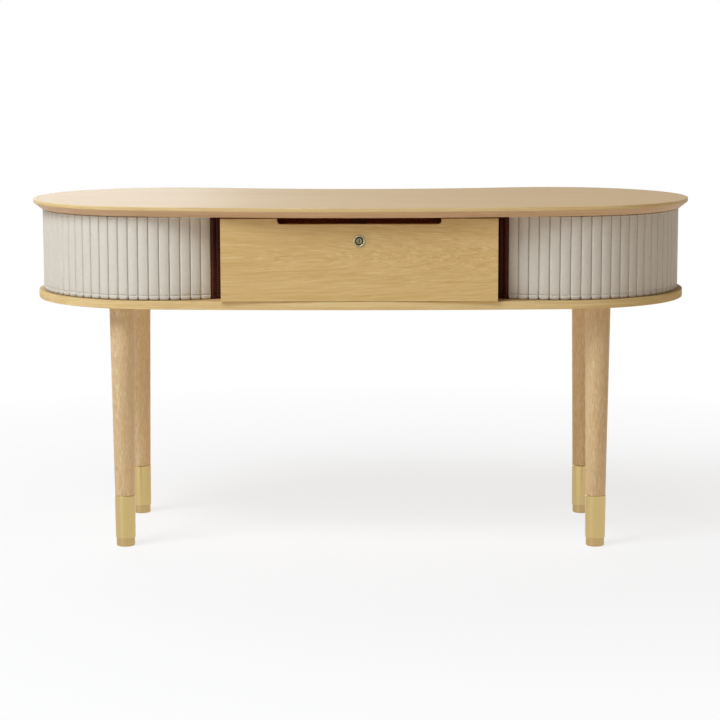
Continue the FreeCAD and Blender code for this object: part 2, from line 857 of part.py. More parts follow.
runner_middle_z = derived("runner_middle_z", box_bottom + given["runner_rise"])
runner_front_y = derived("runner_front_y", front_back_y + given["runner_inset"])
runner_back_y = derived("runner_back_y", box_back_y - given["runner_rear_inset"])


def channel(web, tip, height):
    """C-section standing on its web, with both flanges reaching from the web to the tip."""
    wall = given["runner_wall"]
    inner_web = web + (wall if tip.value > web.value else -wall)
    low = runner_middle_z - height / 2
    high = runner_middle_z + height / 2
    return polygon(
        (web, low),
        (tip, low),
        (tip, low + wall),
        (inner_web, low + wall),
        (inner_web, high - wall),
        (tip, high - wall),
        (tip, high),
        (web, high),
    )


def make_runner(name, side):
    """Three nested sections: one on the partition, one between, one on the drawer side."""
    step = given["runner_wall"] + given["runner_clearance"]
    middle_web = partition_inner - step
    inner_tip = middle_web - step
    tip = box_half + given["runner_side_gap"]
    sections = {
        "outer": (partition_inner, tip, given["runner_height"]),
        "middle": (middle_web, tip, given["runner_height"] - 2 * step),
        "inner": (box_half, inner_tip, given["runner_height"] - 4 * step),
    }
    for member, (web, reach, height) in sections.items():
        body = new_body(f"runner_{member}_{name}")
        outline = channel(side * web, side * reach, height)
        pad(body, "XZ_Plane", runner_front_y, runner_back_y, [outline])


def make_lock_housing():
    """Barrel through the drawer front, with a chamfered rim outside."""
    body = new_body("lock_housing", LOCK_SPOT)
    bore = given["lock_bore_diameter"] / 2
    barrel = given["lock_barrel_diameter"] / 2
    rim = given["lock_rim_diameter"] / 2
    nose = face_y - given["lock_rim_height"]
    chamfer = given["lock_rim_chamfer"]
    revolve(body, "XY_Plane", polygon(
        (bore, nose),
        (rim - chamfer, nose),
        (rim, nose + chamfer),
        (rim, face_y),
        (barrel, face_y),
        (barrel, barrel_end_y),
        (bore, barrel_end_y),
    ))


def make_lock_nut():
    """Hexagon nut that clamps the barrel from inside the drawer."""
    body = new_body("lock_nut")
    centre = (ZERO, lock_z)
    hole = (centre, given["lock_barrel_diameter"] + 2 * given["lock_hole_clearance"])
    outline = hexagon(centre, given["lock_nut_width"])
    pad(body, "XZ_Plane", front_back_y, front_back_y + given["lock_nut_height"], [outline], [hole])


def make_lock_plug():
    """Turning core with a keyway, and a tail that carries the cam."""
    body = new_body("lock_plug", LOCK_SPOT)
    core = given["lock_bore_diameter"] / 2 - given["lock_plug_clearance"]
    tail = given["lock_tail_diameter"] / 2
    nose = face_y - given["lock_rim_height"] + given["lock_plug_recess"]
    end = cam_front_y + given["lock_tail_length"]
    revolve(body, "XY_Plane", polygon(
        (ZERO, nose),
        (core, nose),
        (core, cam_front_y),
        (tail, cam_front_y),
        (tail, end),
        (ZERO, end),
    ))
    half_width = given["keyway_width"] / 2
    half_height = given["keyway_height"] / 2
    slot = rectangle(-half_width, -half_height, half_width, half_height)
    cut(body, "XZ_Plane", nose - given["overrun"], nose + given["keyway_depth"], [slot])


def make_lock_cam():
    """Flat tongue on the plug's tail; it lies level when unlocked and stands up when locked."""
    body = new_body("lock_cam", LOCK_SPOT)
    half = given["cam_width"] / 2
    tip = given["cam_length"] - half
    points = [(ZERO, -half), (tip, -half), (tip + half, ZERO), (tip, half), (ZERO, half), (-half, ZERO)]
    quarter = (half, LEFT_TURN)
    sides = [STRAIGHT, quarter, quarter, STRAIGHT, quarter, quarter]
    hole = ((ZERO, ZERO), given["lock_tail_diameter"] + 2 * given["screw_clearance"])
    pad(body, "XZ_Plane", cam_front_y, cam_back_y, [(points, sides)], [hole])


def make_cam_nut():
    body = new_body("lock_cam_nut", LOCK_SPOT)
    hole = ((ZERO, ZERO), given["lock_tail_diameter"] + 2 * given["screw_clearance"])
    outline = hexagon((ZERO, ZERO), given["cam_nut_width"])
    pad(body, "XZ_Plane", cam_back_y, cam_back_y + given["cam_nut_height"], [outline], [hole])


def make_lock_strike():
    """Plate let into the underside of the top; the raised cam catches behind it."""
    body = new_body("lock_strike")
    upper = soffit + given["strike_mortise"] - given["screw_clearance"]
    pad(body, "XY_Plane", soffit - given["strike_drop"], upper, [strike_outline(ZERO)])


ferrule_top = derived("ferrule_top", given["foot_height"] + given["ferrule_height"])
spigot_low = derived("spigot_low", given["foot_height"] + given["ferrule_floor"])
spigot_radius = derived("spigot_radius", given["ferrule_bottom_diameter"] / 2 - given["ferrule_wall"])
stud_hole = derived("stud_hole", given["stud_diameter"] / 2 + given["stud_clearance"])
bolt_low = derived("bolt_low", base_bottom - given["leg_bolt_depth"])


def make_leg(name, spot):
    """Turned tapering leg with a spigot for its ferrule and a hole at each end."""
    body = new_body(f"leg_{name}", (*spot, ZERO))
    bolt_hole = given["leg_bolt_diameter"] / 2 + given["leg_bolt_clearance"]
    hole_top = given["foot_height"] + given["stud_length"] + given["stud_hole_spare"]
    shoulder = given["ferrule_top_diameter"] / 2
    chamfer = given["leg_chamfer"]
    revolve(body, "XZ_Plane", polygon(
        (ZERO, hole_top),
        (stud_hole, hole_top),
        (stud_hole, spigot_low),
        (spigot_radius - given["spigot_clearance"], spigot_low),
        (spigot_radius - given["spigot_clearance"], ferrule_top),
        (shoulder - chamfer, ferrule_top),
        (shoulder, ferrule_top + chamfer),
        (given["leg_top_diameter"] / 2, base_bottom),
        (bolt_hole, base_bottom),
        (bolt_hole, bolt_low),
        (ZERO, bolt_low),
    ))


def make_ferrule(name, spot):
    """Brass sleeve that carries on the leg's taper, with a floor for the levelling foot's stud."""
    body = new_body(f"ferrule_{name}", (*spot, ZERO))
    low = given["foot_height"]
    low_radius = given["ferrule_bottom_diameter"] / 2
    high_radius = given["ferrule_top_diameter"] / 2
    chamfer = given["ferrule_chamfer"]
    revolve(body, "XZ_Plane", polygon(
        (stud_hole, low),
        (low_radius - chamfer, low),
        (low_radius, low + chamfer),
        (high_radius, ferrule_top - chamfer),
        (high_radius - chamfer, ferrule_top),
        (spigot_radius, ferrule_top),
        (spigot_radius, spigot_low),
        (stud_hole, spigot_low),
    ))


def make_foot(name, spot):
    """Levelling foot: a stepped-in brass tip on a stud."""
    body = new_body(f"levelling_foot_{name}", (*spot, ZERO))
    radius = given["foot_diameter"] / 2
    heel = given["foot_round"]
    stud = given["stud_diameter"] / 2
    stud_top = given["foot_height"] + given["stud_length"]
    points = [
        (ZERO, ZERO),
        (radius - heel, ZERO),
        (radius, heel),
        (radius, given["foot_height"]),
        (stud, given["foot_height"]),
        (stud, stud_top),
        (ZERO, stud_top),
    ]
    sides = [STRAIGHT] * len(points)
    sides[1] = (heel, LEFT_TURN)
    revolve(body, "XZ_Plane", (points, sides))


def make_leg_bolts():
    body = new_body("leg_bolts")
    head = base_top - given["nut_flange_height"]
    pad(body, "XY_Plane", bolt_low, head, circles=leg_circles(given["leg_bolt_diameter"]))


def make_leg_nuts():
    """Flanged nuts pressed into the base board from above, one over each leg."""
    body = new_body("leg_nuts")
    bore = leg_circles(given["leg_bolt_diameter"] + 2 * given["leg_bolt_clearance"])
    flange = base_top - given["nut_flange_height"]
    pad(body, "XY_Plane", flange, base_top, circles=leg_circles(given["nut_flange_diameter"]) + bore)
    barrel = base_top - given["nut_barrel_height"]
    pad(body, "XY_Plane", barrel, flange, circles=leg_circles(given["nut_barrel_diameter"]) + bore)


def build():
    make_top_panel()
    make_base_panel()
    make_back_panel()
    make_partition_screws()
    for name, side in SIDES.items():
        make_partition(name, side)
        make_back_shell(name, side)
        make_back_post(name, side)
        make_liner(name, side)
        make_slats(name, side)
        make_cloth(name, side)
        make_lead_bar(name, side)
        make_lead_leather(name, side)
        make_runner(name, side)
        make_drawer_side(name, side)
    make_drawer_front()
    make_drawer_back()
    make_drawer_bottom()
    make_lock_housing()
    make_lock_nut()
    make_lock_plug()
    make_lock_cam()
    make_cam_nut()
    make_lock_strike()
    for name, spot in LEG_SPOTS.items():
        make_leg(name, spot)
        make_ferrule(name, spot)
        make_foot(name, spot)
    make_leg_bolts()
    make_leg_nuts()
    doc.recompute()


def check():
    """Every object is up to date, every cut took material away and every piece is a valid solid."""
    for item in doc.Objects:
        failed = {"Invalid", "Error"} & set(item.State)
        if failed:
            raise RuntimeError(f"{item.Label} is {failed}")
        if item.TypeId == "PartDesign::Pocket" and item.Shape.Volume >= item.BaseFeature.Shape.Volume:
            raise RuntimeError(f"{item.Label} cuts nothing")
        if item.TypeId == "Sketcher::SketchObject" and not item.FullyConstrained:
            raise RuntimeError(f"{item.Label} is not fully constrained")
    for body in bodies():
        if body.Shape.isNull() or not body.Shape.isValid() or not body.Shape.Solids:
            raise RuntimeError(f"{body.Label} has no valid solid")


def bodies():
    return [item for item in doc.Objects if item.TypeId == "PartDesign::Body"]


def write():
    os.makedirs("parts", exist_ok=True)
    for body in bodies():
        body.Shape.exportStep(f"parts/{body.Label}.step")
    print(len(bodies()), "pieces written")


build()
check()
write()
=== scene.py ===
# %% [markdown]
# # Dressing a kidney-shaped writing desk
# The desk is an oak kidney on four turned legs. A drawer with a lock sits in the middle, and each
# round end is a cupboard that a tambour closes: a curtain of upright slats that runs in a curved
# track. Sizes, solids and joints are settled already and arrive packed, so this lesson only gives
# them their looks. Nothing that was packed is moved: a solid keeps its mesh and gets a material,
# or a finer surface takes its place.

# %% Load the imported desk
import bmesh
import bpy
import json
import math
import numpy as np
from mathutils import Matrix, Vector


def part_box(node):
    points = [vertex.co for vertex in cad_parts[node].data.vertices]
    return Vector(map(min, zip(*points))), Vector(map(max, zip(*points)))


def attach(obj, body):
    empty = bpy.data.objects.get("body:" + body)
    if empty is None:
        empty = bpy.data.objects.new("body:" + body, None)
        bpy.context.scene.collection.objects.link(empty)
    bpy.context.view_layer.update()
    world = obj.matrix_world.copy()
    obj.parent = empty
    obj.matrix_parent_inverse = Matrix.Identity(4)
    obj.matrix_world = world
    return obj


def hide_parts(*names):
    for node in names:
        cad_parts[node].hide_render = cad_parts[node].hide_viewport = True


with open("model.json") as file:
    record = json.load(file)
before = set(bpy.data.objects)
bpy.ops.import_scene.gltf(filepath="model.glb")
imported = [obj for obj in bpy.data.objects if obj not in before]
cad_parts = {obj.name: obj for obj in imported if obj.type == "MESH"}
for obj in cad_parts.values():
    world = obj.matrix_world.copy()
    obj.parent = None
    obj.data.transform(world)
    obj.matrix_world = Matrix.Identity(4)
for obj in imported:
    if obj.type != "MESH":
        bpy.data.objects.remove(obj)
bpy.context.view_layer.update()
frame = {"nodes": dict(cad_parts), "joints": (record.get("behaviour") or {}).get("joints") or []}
nodes = frame["nodes"]
MM = 0.001

# %% [markdown]
# ## The measures that the looks follow
# Each tambour turns about the axis of its round end, so the joint gives the centre of the drum.
# The leather edge strip is as tall as the slats, and the tongues on the slats' ends run in the
# tracks above and below. Reading these from the frame keeps the new surfaces where the solids are.

# %% Read the drums and the slats
joints = {joint["name"]: joint for joint in frame["joints"]}
SIDES = {"left": -1, "right": 1}
drum_x, drum_y, _ = joints["tambour_right_turn"]["pos_m"]
slat_low, slat_high = (corner.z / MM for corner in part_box("tambour_lead_leather_right"))
tongue_low, tongue_high = (corner.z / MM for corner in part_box("tambour_slats_right"))
print("drum centre", drum_x, drum_y, "m; slats", round(slat_low, 1), "to", round(slat_high, 1), "mm")

# %% [markdown]
# ## Camera
# The photograph was taken from the front, a little above the table top and from far away, which
# keeps the legs almost parallel. The camera below stands where that view is seen: its place was
# found by fitting the outlines of the top, the base and the feet.

# %% Set the camera
CAMERA_PLACE = (41.5 * MM, -5262 * MM, 1149 * MM)
CAMERA_DOWN = math.radians(8.225)
CAMERA_TURN = math.radians(0.465)
CAMERA_ROLL = math.radians(-0.11)
CAMERA_SENSOR, CAMERA_LENS = 36, 116.55

camera_data = bpy.data.cameras.new("camera")
camera_data.sensor_width = CAMERA_SENSOR
camera_data.lens = CAMERA_LENS
camera = bpy.data.objects.new("camera", camera_data)
bpy.context.scene.collection.objects.link(camera)
camera.matrix_world = (
    Matrix.Translation(CAMERA_PLACE)
    @ Matrix.Rotation(CAMERA_TURN, 4, "Z")
    @ Matrix.Rotation(math.pi / 2 - CAMERA_DOWN, 4, "X")
    @ Matrix.Rotation(CAMERA_ROLL, 4, "Z")
)
bpy.context.scene.camera = camera
bpy.context.scene.view_settings.view_transform = "Standard"
print("camera", -CAMERA_PLACE[1], "m in front of the desk, lens", CAMERA_LENS, "mm")

# %% [markdown]
# ## One way to write materials
# A material is a small graph of nodes. One function adds a node, sets it and links it, so that a
# finish below reads as a list of what goes into what. Colours are written as sRGB hex values, as
# one reads them off a screen, and turned into the linear values that a renderer works with.

# %% Helpers for materials
def linear(code):
    """Hex sRGB to linear: divide by 12.92 near black, else ((c + 0.055) / 1.055) to the power 2.4."""
    shares = np.array([int(code[i:i + 2], 16) for i in (1, 3, 5)]) / 255
    lit = np.where(shares <= 0.04045, shares / 12.92, ((shares + 0.055) / 1.055) ** 2.4)
    return (*lit.tolist(), 1)


def add(tree, kind, inputs=None, **settings):
    """One node: settings are its own choices; an input is a value, or another node's output to link."""
    node = tree.nodes.new("ShaderNode" + kind)
    for name, value in settings.items():
        setattr(node, name, value)
    for key, value in (inputs or {}).items():
        if isinstance(value, bpy.types.NodeSocket):
            tree.links.new(value, node.inputs[key])
        else:
            node.inputs[key].default_value = value
    return node


def new_material(name, **values):
    """An empty graph that ends in a principled shader, with plain values set on the shader's sockets."""
    material = bpy.data.materials.new(name)
    material.use_nodes = True
    tree = material.node_tree
    tree.nodes.clear()
    shader = add(tree, "BsdfPrincipled", {key.replace("_", " "): value for key, value in values.items()})
    add(tree, "OutputMaterial", {"Surface": shader.outputs["BSDF"]}, name="output")
    return material, tree, shader


print("mid grey #808080 is", round(linear("#808080")[0], 3), "in linear light")

# %% [markdown]
# ## Floor and light
# The desk stands on plain white. The backdrop is white only to the eye, to mirrors and to glass;
# the light that falls on the oak stays at an even, modest level, so that a colour renders about
# as it is written. The floor is white paint that keeps the desk's shadow, and glows to white a
# few steps away, where a studio would have its curved paper.

# %% Floor and backdrop
FLOOR_HALF = 40
SKY_LEVEL = 0.18
SKY_TONE = "#ffe2c2"
# metres from the desk where the glow starts and where it is full, and its share where it starts
GLOW_NEAR, GLOW_FAR, GLOW_LEAST = 0.8, 2.2, 0.76


def seen_directly(tree):
    """1 for rays from the camera, off a glossy surface or through glass, and 0 for light that scatters."""
    path = add(tree, "LightPath")
    eye_or_gloss = add(tree, "Math", {0: path.outputs["Is Camera Ray"], 1: path.outputs["Is Glossy Ray"]},
                       operation="MAXIMUM")
    return add(tree, "Math", {0: eye_or_gloss.outputs[0], 1: path.outputs["Is Transmission Ray"]},
               operation="MAXIMUM").outputs[0]


world = bpy.data.worlds.new("studio")
bpy.context.scene.world = world
world.use_nodes = True
world.node_tree.nodes.clear()
sky = add(world.node_tree, "Background", {"Color": linear(SKY_TONE), "Strength": SKY_LEVEL})
backdrop = add(world.node_tree, "Background", {"Color": linear("#ffffff"), "Strength": 1})
either = add(world.node_tree, "MixShader", {
    0: seen_directly(world.node_tree), 1: sky.outputs[0], 2: backdrop.outputs[0]})
add(world.node_tree, "OutputWorld", {"Surface": either.outputs[0]})

floor_mesh = bpy.data.meshes.new("floor")
floor_corners = FLOOR_HALF * np.array([(-1, -1, 0), (1, -1, 0), (1, 1, 0), (-1, 1, 0)])
floor_mesh.from_pydata(floor_corners.tolist(), [], [(0, 1, 2, 3)])
floor = bpy.data.objects.new("floor", floor_mesh)
bpy.context.scene.collection.objects.link(floor)

floor_material, tree, shader = new_material(
    "white_paint_floor", Base_Color=linear("#f3f2f0"), Roughness=0.9, Specular_IOR_Level=0)
glow = add(tree, "Emission", {"Color": linear("#ffffff"), "Strength": 1})
distance = add(tree, "VectorMath", {0: add(tree, "TexCoord").outputs["Object"]}, operation="LENGTH")
glow_share = add(tree, "MapRange", {
    "Value": distance.outputs["Value"], "From Min": GLOW_NEAR, "From Max": GLOW_FAR,
    "To Min": GLOW_LEAST, "To Max": 1})
seen_glow = add(tree, "Math", {0: seen_directly(tree), 1: glow_share.outputs[0]}, operation="MULTIPLY")
mix = add(tree, "MixShader", {0: seen_glow.outputs[0], 1: shader.outputs[0], 2: glow.outputs[0]})
tree.links.new(mix.outputs[0], tree.nodes["output"].inputs["Surface"])
floor_mesh.materials.append(floor_material)
print("floor", 2 * FLOOR_HALF, "m wide; sky level", SKY_LEVEL)

# %% [markdown]
# ## Lamps
# A broad soft lamp high on the left models the round ends and leaves the right end in shade. A
# weaker one high in front fills the drawer. Both stand high, so that the overhang of the top
# throws its soft shadow on the drawer and the slats. A third keeps the back from going dull. A
# wide, warmer panel lies on the floor and lifts the legs and the shaded end, as a pale rug does.
# Two low panels on the left are there to be mirrored: the one behind as a pale sheen along the
# lacquered top, the one in front as the upright highlight on the brass. They give no light to
# scatter, or the pale slats near them would burn out.

# %% Set the lamps
DAYLIGHT, WARM = "#e9f3ff", "#ffe1b9"
LAMPS = {
    "key_left": {"place": (-2.85, -2.35, 4.6), "size": (2.2, 1.8), "power": 218, "tone": DAYLIGHT},
    "fill_front": {"place": (-1.4, -3.7, 4.4), "size": (2.0, 1.6), "power": 63, "tone": DAYLIGHT},
    "fill_behind": {"place": (-1.4, 3.6, 3.4), "size": (2.4, 1.6), "power": 50, "tone": DAYLIGHT},
    "bounce": {"place": (0, 0, 0.004), "size": (5.0, 4.0), "power": 21, "tone": WARM},
    "sheen_behind": {"place": (-1.6, 3.0, 1.25), "size": (2.4, 0.8), "power": 20, "tone": DAYLIGHT},
    "sheen_front": {"place": (-2.4, -2.5, 0.8), "size": (0.7, 1.4), "power": 30, "tone": DAYLIGHT},
}
LAMP_AIM = (0, 0.001, 0.6)


def aimed(place, target):
    """Rotation whose minus Z axis points from place to target, with the lamp's own Y axis upwards."""
    back = np.array(place, float) - np.array(target, float)
    back /= np.linalg.norm(back)
    right = np.cross((0, 0, 1), back)
    right /= np.linalg.norm(right)
    return Matrix(np.stack([right, np.cross(back, right), back], axis=1).tolist()).to_4x4()


for lamp_name, lamp in LAMPS.items():
    light = bpy.data.lights.new(lamp_name, "AREA")
    light.shape = "RECTANGLE"
    light.size, light.size_y = lamp["size"]
    light.energy = lamp["power"]
    light.color = linear(lamp["tone"])[:3]
    lamp_object = bpy.data.objects.new(lamp_name, light)
    lamp_object.matrix_world = Matrix.Translation(lamp["place"]) @ aimed(lamp["place"], LAMP_AIM)
    lamp_object.visible_camera = False
    lamp_object.visible_diffuse = not lamp_name.startswith("sheen")
    lamp_object.visible_glossy = lamp_name != "bounce"
    bpy.context.scene.collection.objects.link(lamp_object)
print(len(LAMPS), "lamps,", sum(lamp["power"] for lamp in LAMPS.values()), "W together")

# %% [markdown]
# ## Where a point lies in the wood
# Oak is drawn from three numbers: how far along the grain a point lies, how far across the growth
# rings, and how far round them. The middle one is the distance from the heart of the trunk. With
# the grain's own axis squashed, lines of equal distance become long ellipses, and a board cut
# through them shows the flames of plain-sawn oak. A slow noise makes the lines wander. One could
# also stretch a plain noise, but then every line would be straight.

# %% Grain coordinates
# mm along and across the grain over which its lines wander once
WANDER_LENGTH, WANDER_WIDTH = 240, 45


def streaks(tree, wood, length, width, detail=2, round_width=4):
    """Noise in cells of length mm along the grain, width mm across it and round_width times that round it."""
    scale = (1 / (length * MM), 1 / (round_width * width * MM), 1 / (width * MM))
    cells = add(tree, "Mapping", {"Vector": wood, "Scale": scale})
    return add(tree, "TexNoise", {"Vector": cells.outputs[0], "Scale": 1, "Detail": detail}).outputs["Fac"]


def grain(tree, run, heart, squash=9, wander=7):
    """Vector (along, round, across) in metres. Across is the length of (point minus heart) with the run
    axis divided by squash, plus a noise of up to wander mm; round is the sum of the other two axes."""
    place = add(tree, "TexCoord").outputs["Object"]
    offset = add(tree, "VectorMath", {0: place, 1: heart}, operation="SUBTRACT")
    flat = add(tree, "VectorMath", {
        0: offset.outputs[0], 1: [1 / squash if axis == run else 1 for axis in "xyz"]}, operation="MULTIPLY")
    rings = add(tree, "VectorMath", {0: flat.outputs[0]}, operation="LENGTH")
    axes = add(tree, "SeparateXYZ", {0: place})
    along = axes.outputs[run.upper()]
    others = [axes.outputs[axis.upper()] for axis in "xyz" if axis != run]
    around = add(tree, "Math", {0: others[0], 1: others[1]}, operation="ADD")
    straight = add(tree, "CombineXYZ", {0: along, 1: around.outputs[0], 2: rings.outputs["Value"]})
    slow = streaks(tree, straight.outputs[0], WANDER_LENGTH, WANDER_WIDTH, detail=1)
    push = add(tree, "Math", {0: slow, 1: 2 * wander * MM, 2: -wander * MM}, operation="MULTIPLY_ADD")
    bent = add(tree, "Math", {0: rings.outputs["Value"], 1: push.outputs[0]}, operation="ADD")
    return add(tree, "CombineXYZ", {0: along, 1: around.outputs[0], 2: bent.outputs[0]}).outputs[0]


print("grain runs along x on boards and along z on legs")

# %% [markdown]
# ## Oak
# The boards are faced with plain-sawn oak veneer, the legs are turned from solid oak, and a thin
# matt lacquer covers both. What the eye reads as oak is a pale ground, soft bands from the yearly
# rings, short dark pores that follow them, and paler flecks. Each is one streak pattern laid over
# the last. Real pores are about 0.3 mm wide, too fine for this view, so they are drawn at 0.8 mm.

# %% Oak tones and finish
OAK_LAYERS = (
    # tone, length mm, width mm, where it starts, where it is full, how much of it
    ("late", 420, 6, 0.46, 0.74, 0.60),
    ("late", 200, 1.8, 0.48, 0.70, 0.60),
    ("fleck", 80, 1.0, 0.52, 0.70, 0.65),
    ("pore", 45, 0.8, 0.60, 0.76, 0.50),
)
OPEN_PORE_LENGTH, OPEN_PORE_WIDTH, OPEN_PORE_DEPTH = 20, 0.8, 0.2


def oak_colour(tree, wood, tones, round_width=4, layers=OAK_LAYERS):
    """The ground tone with each layer mixed over it where that layer's streak is strong."""
    colour = linear(tones["ground"])
    for tone, length, width, low, full, share in layers:
        strength = add(tree, "MapRange", {
            "Value": streaks(tree, wood, length, width, round_width=round_width),
            "From Min": low, "From Max": full, "To Max": share})
        colour = add(tree, "Mix", {0: strength.outputs[0], 6: colour, 7: linear(tones[tone])},
                     data_type="RGBA").outputs[2]
    return colour


def lacquer(tree, shader, colour, wood):
    """Matt lacquer over open pores: the colour, and a little relief where the pores are."""
    pores = streaks(tree, wood, OPEN_PORE_LENGTH, OPEN_PORE_WIDTH)
    relief = add(tree, "Bump", {"Height": pores, "Strength": 0.1, "Distance": OPEN_PORE_DEPTH * MM})
    tree.links.new(colour, shader.inputs["Base Color"])
    tree.links.new(relief.outputs[0], shader.inputs["Normal"])


def oak(name, run, heart, tones, squash=9):
    """A board or a turning in oak under matt lacquer, its grain along the axis in run."""
    material, tree, shader = new_material(name, Roughness=0.5, IOR=1.5, Specular_IOR_Level=0.3)
    wood = grain(tree, run, heart, squash)
    lacquer(tree, shader, oak_colour(tree, wood, tones), wood)
    return material


VENEER = {"ground": "#d4b276", "late": "#c49d5b", "fleck": "#e0c996", "pore": "#aa8342"}

oak_front = oak("plain_sawn_oak_along", "x", (-0.25, -0.245, 0.655), VENEER, squash=8)
oak_upright = oak("plain_sawn_oak_upright", "z", (-1.3, -0.9, 0.2), VENEER)
print("oak veneer in", len(OAK_LAYERS), "layers")

# %% [markdown]
# ## Solid oak for the legs
# The legs are turned from solid oak, and a turning cuts through many rings, so its streaks are
# short and narrow. Just above the brass, where the ferrule is pushed on and glued, a hair's width
# of painted shade darkens the wood's colour. It is drawn about a millimetre tall, as a band in z.

# %% Oak for the legs
SOLID = {"ground": "#d3b688", "late": "#bf9b6a", "fleck": "#e2d1ac", "pore": "#a78456"}
LEG_LAYERS = (
    ("late", 100, 3.0, 0.46, 0.70, 0.42),
    ("fleck", 16, 1.4, 0.48, 0.66, 0.60),
    ("pore", 11, 0.9, 0.56, 0.72, 0.45),
)
# the band of painted shade above the brass: its reach in mm, and how much dark brown it mixes in
SHADE_BAND_TALL, SHADE_BAND_SHARE = 1.2, 0.25
ferrule_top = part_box("ferrule_front_left")[1].z
oak_turned, tree, shader = new_material("turned_oak", Roughness=0.5, IOR=1.5, Specular_IOR_Level=0.3)
wood = grain(tree, "z", (0.12, 0.9, -0.6), wander=3)
height = add(tree, "SeparateXYZ", {0: add(tree, "TexCoord").outputs["Object"]}).outputs["Z"]
# painted shade: the wood's colour turns towards dark brown in a thin band just above the brass
in_shade_band = add(tree, "Math", {0: height, 1: ferrule_top, 2: SHADE_BAND_TALL * MM}, operation="COMPARE")
shade_band_mix = add(tree, "Math", {0: in_shade_band.outputs[0], 1: SHADE_BAND_SHARE}, operation="MULTIPLY")
bare_oak = oak_colour(tree, wood, SOLID, round_width=2, layers=LEG_LAYERS)
leg_colour = add(tree, "Mix", {0: shade_band_mix.outputs[0], 6: bare_oak, 7: linear("#5a3d22")}, data_type="RGBA")
lacquer(tree, shader, leg_colour.outputs[2], wood)
print("legs meet the brass", round(ferrule_top / MM), "mm up")

# %% [markdown]
# ## Boards with a lipping
# The top and the base are veneered flat, and a solid lipping closes their edges all the way
# round. The lipping is bent, so its grain follows the edge. Faces that look up or down take the
# veneer, and the rest the lipping: the mask is the upward part of the surface normal. The bevel
# under the edge cuts the lipping at a slant and faces downwards, so it takes a darker, redder copy
# of the lipping as painted shade. The top's own grain runs from end to end.

# %% Oak board with lipped edge
LIPPING = {"ground": "#dcc087", "late": "#c8a469", "fleck": "#e7d2a0", "pore": "#af8a50"}
TOP = {"ground": "#bf9e69", "late": "#ae8a54", "fleck": "#c7ac7b", "pore": "#98763e"}
BEVEL_SHADE = {"ground": "#c7a580", "late": "#b59067", "fleck": "#d2b794", "pore": "#9f7b53"}


def lipped_oak(name, heart, roughness):
    """Veneer where the normal's z is near 1 or minus 1, else lipping whose grain is long in x and y."""
    material, tree, shader = new_material(name, Roughness=roughness, IOR=1.5, Specular_IOR_Level=0.3)
    wood = grain(tree, "x", heart)
    edge_place = add(tree, "TexCoord").outputs["Object"]
    edge_colour = oak_colour(tree, edge_place, LIPPING, round_width=30)
    normal = add(tree, "SeparateXYZ", {0: add(tree, "NewGeometry").outputs["Normal"]})
    level = add(tree, "Math", {0: normal.outputs["Z"]}, operation="ABSOLUTE")
    is_flat = add(tree, "MapRange", {"Value": level.outputs[0], "From Min": 0.9, "From Max": 0.98})
    # painted shade: faces that slope downwards, as the bevel does, take darker and redder tones
    is_shaded_bevel = add(tree, "MapRange", {"Value": normal.outputs["Z"], "From Min": -0.3, "From Max": -0.6})
    rim_colour = add(tree, "Mix", {
        0: is_shaded_bevel.outputs[0], 6: edge_colour, 7: oak_colour(tree, edge_place, BEVEL_SHADE, round_width=30)},
        data_type="RGBA")
    colour = add(tree, "Mix", {
        0: is_flat.outputs[0], 6: rim_colour.outputs[2], 7: oak_colour(tree, wood, TOP)}, data_type="RGBA")
    lacquer(tree, shader, colour.outputs[2], wood)
    return material


oak_top = lipped_oak("lipped_oak_top", (-0.4, 0.9, 0.76), 0.5)
oak_base = lipped_oak("lipped_oak_base", (0.3, 0.8, 0.54), 0.75)
print("lipped boards:", oak_top.name, oak_base.name)

# %% [markdown]
# ## Drawer box
# The drawer's sides, back and bottom are birch plywood, sanded and clear-lacquered. Its faces are
# pale and quiet, and its sawn edges show the plies as fine stripes. Each ply is about 1.4 mm.

# %% Birch plywood
PLY_THICKNESS = 1.4
BIRCH = {"ground": "#dcc298", "late": "#cfb184", "fleck": "#e6d3b0", "pore": "#c2a270"}


def birch_ply(name, run, through):
    """Quiet streaks along run; on faces that look up, stripes of one ply each along the axis through."""
    material, tree, shader = new_material(name, Roughness=0.5, IOR=1.5)
    wood = grain(tree, run, (0.4, 0.7, 1.6), wander=4)
    place = add(tree, "SeparateXYZ", {0: add(tree, "TexCoord").outputs["Object"]})
    turns = add(tree, "Math", {0: place.outputs[through], 1: math.pi / (PLY_THICKNESS * MM)},
                operation="MULTIPLY")
    wave = add(tree, "Math", {0: turns.outputs[0]}, operation="SINE")
    ply = add(tree, "MapRange", {"Value": wave.outputs[0], "From Min": -0.3, "From Max": 0.3})
    stripes = add(tree, "Mix", {0: ply.outputs[0], 6: linear("#b08a58"), 7: linear("#d8bd90")},
                  data_type="RGBA")
    normal = add(tree, "SeparateXYZ", {0: add(tree, "NewGeometry").outputs["Normal"]})
    is_edge = add(tree, "MapRange", {"Value": normal.outputs["Z"], "From Min": 0.8, "From Max": 0.9})
    colour = add(tree, "Mix", {
        0: is_edge.outputs[0], 6: oak_colour(tree, wood, BIRCH), 7: stripes.outputs[2]}, data_type="RGBA")
    lacquer(tree, shader, colour.outputs[2], wood)
    return material


ply_sides = birch_ply("birch_ply_sides", "y", "X")
ply_back = birch_ply("birch_ply_back", "x", "Y")
ply_bottom = oak("birch_ply_bottom", "x", (0.4, 2.4, 0.5), BIRCH)
print("plies of", PLY_THICKNESS, "mm")

# %% [markdown]
# ## Leatherette and leather
# The slats are wrapped in leatherette: cotton cloth under a vinyl skin that a heated roller has
# embossed with a fine pebble. The edge strips are dyed cowhide, darker and a little oilier. The
# lip behind the drawer's finger slot is suede: the rough side of a split hide, whose nap takes
# away all gloss. Their pebbles are cells of a Voronoi pattern: high in the middle, with creases
# between. A real pebble is about 0.7 mm; here it is drawn at 1.2 to 1.8 mm, so that it shows.

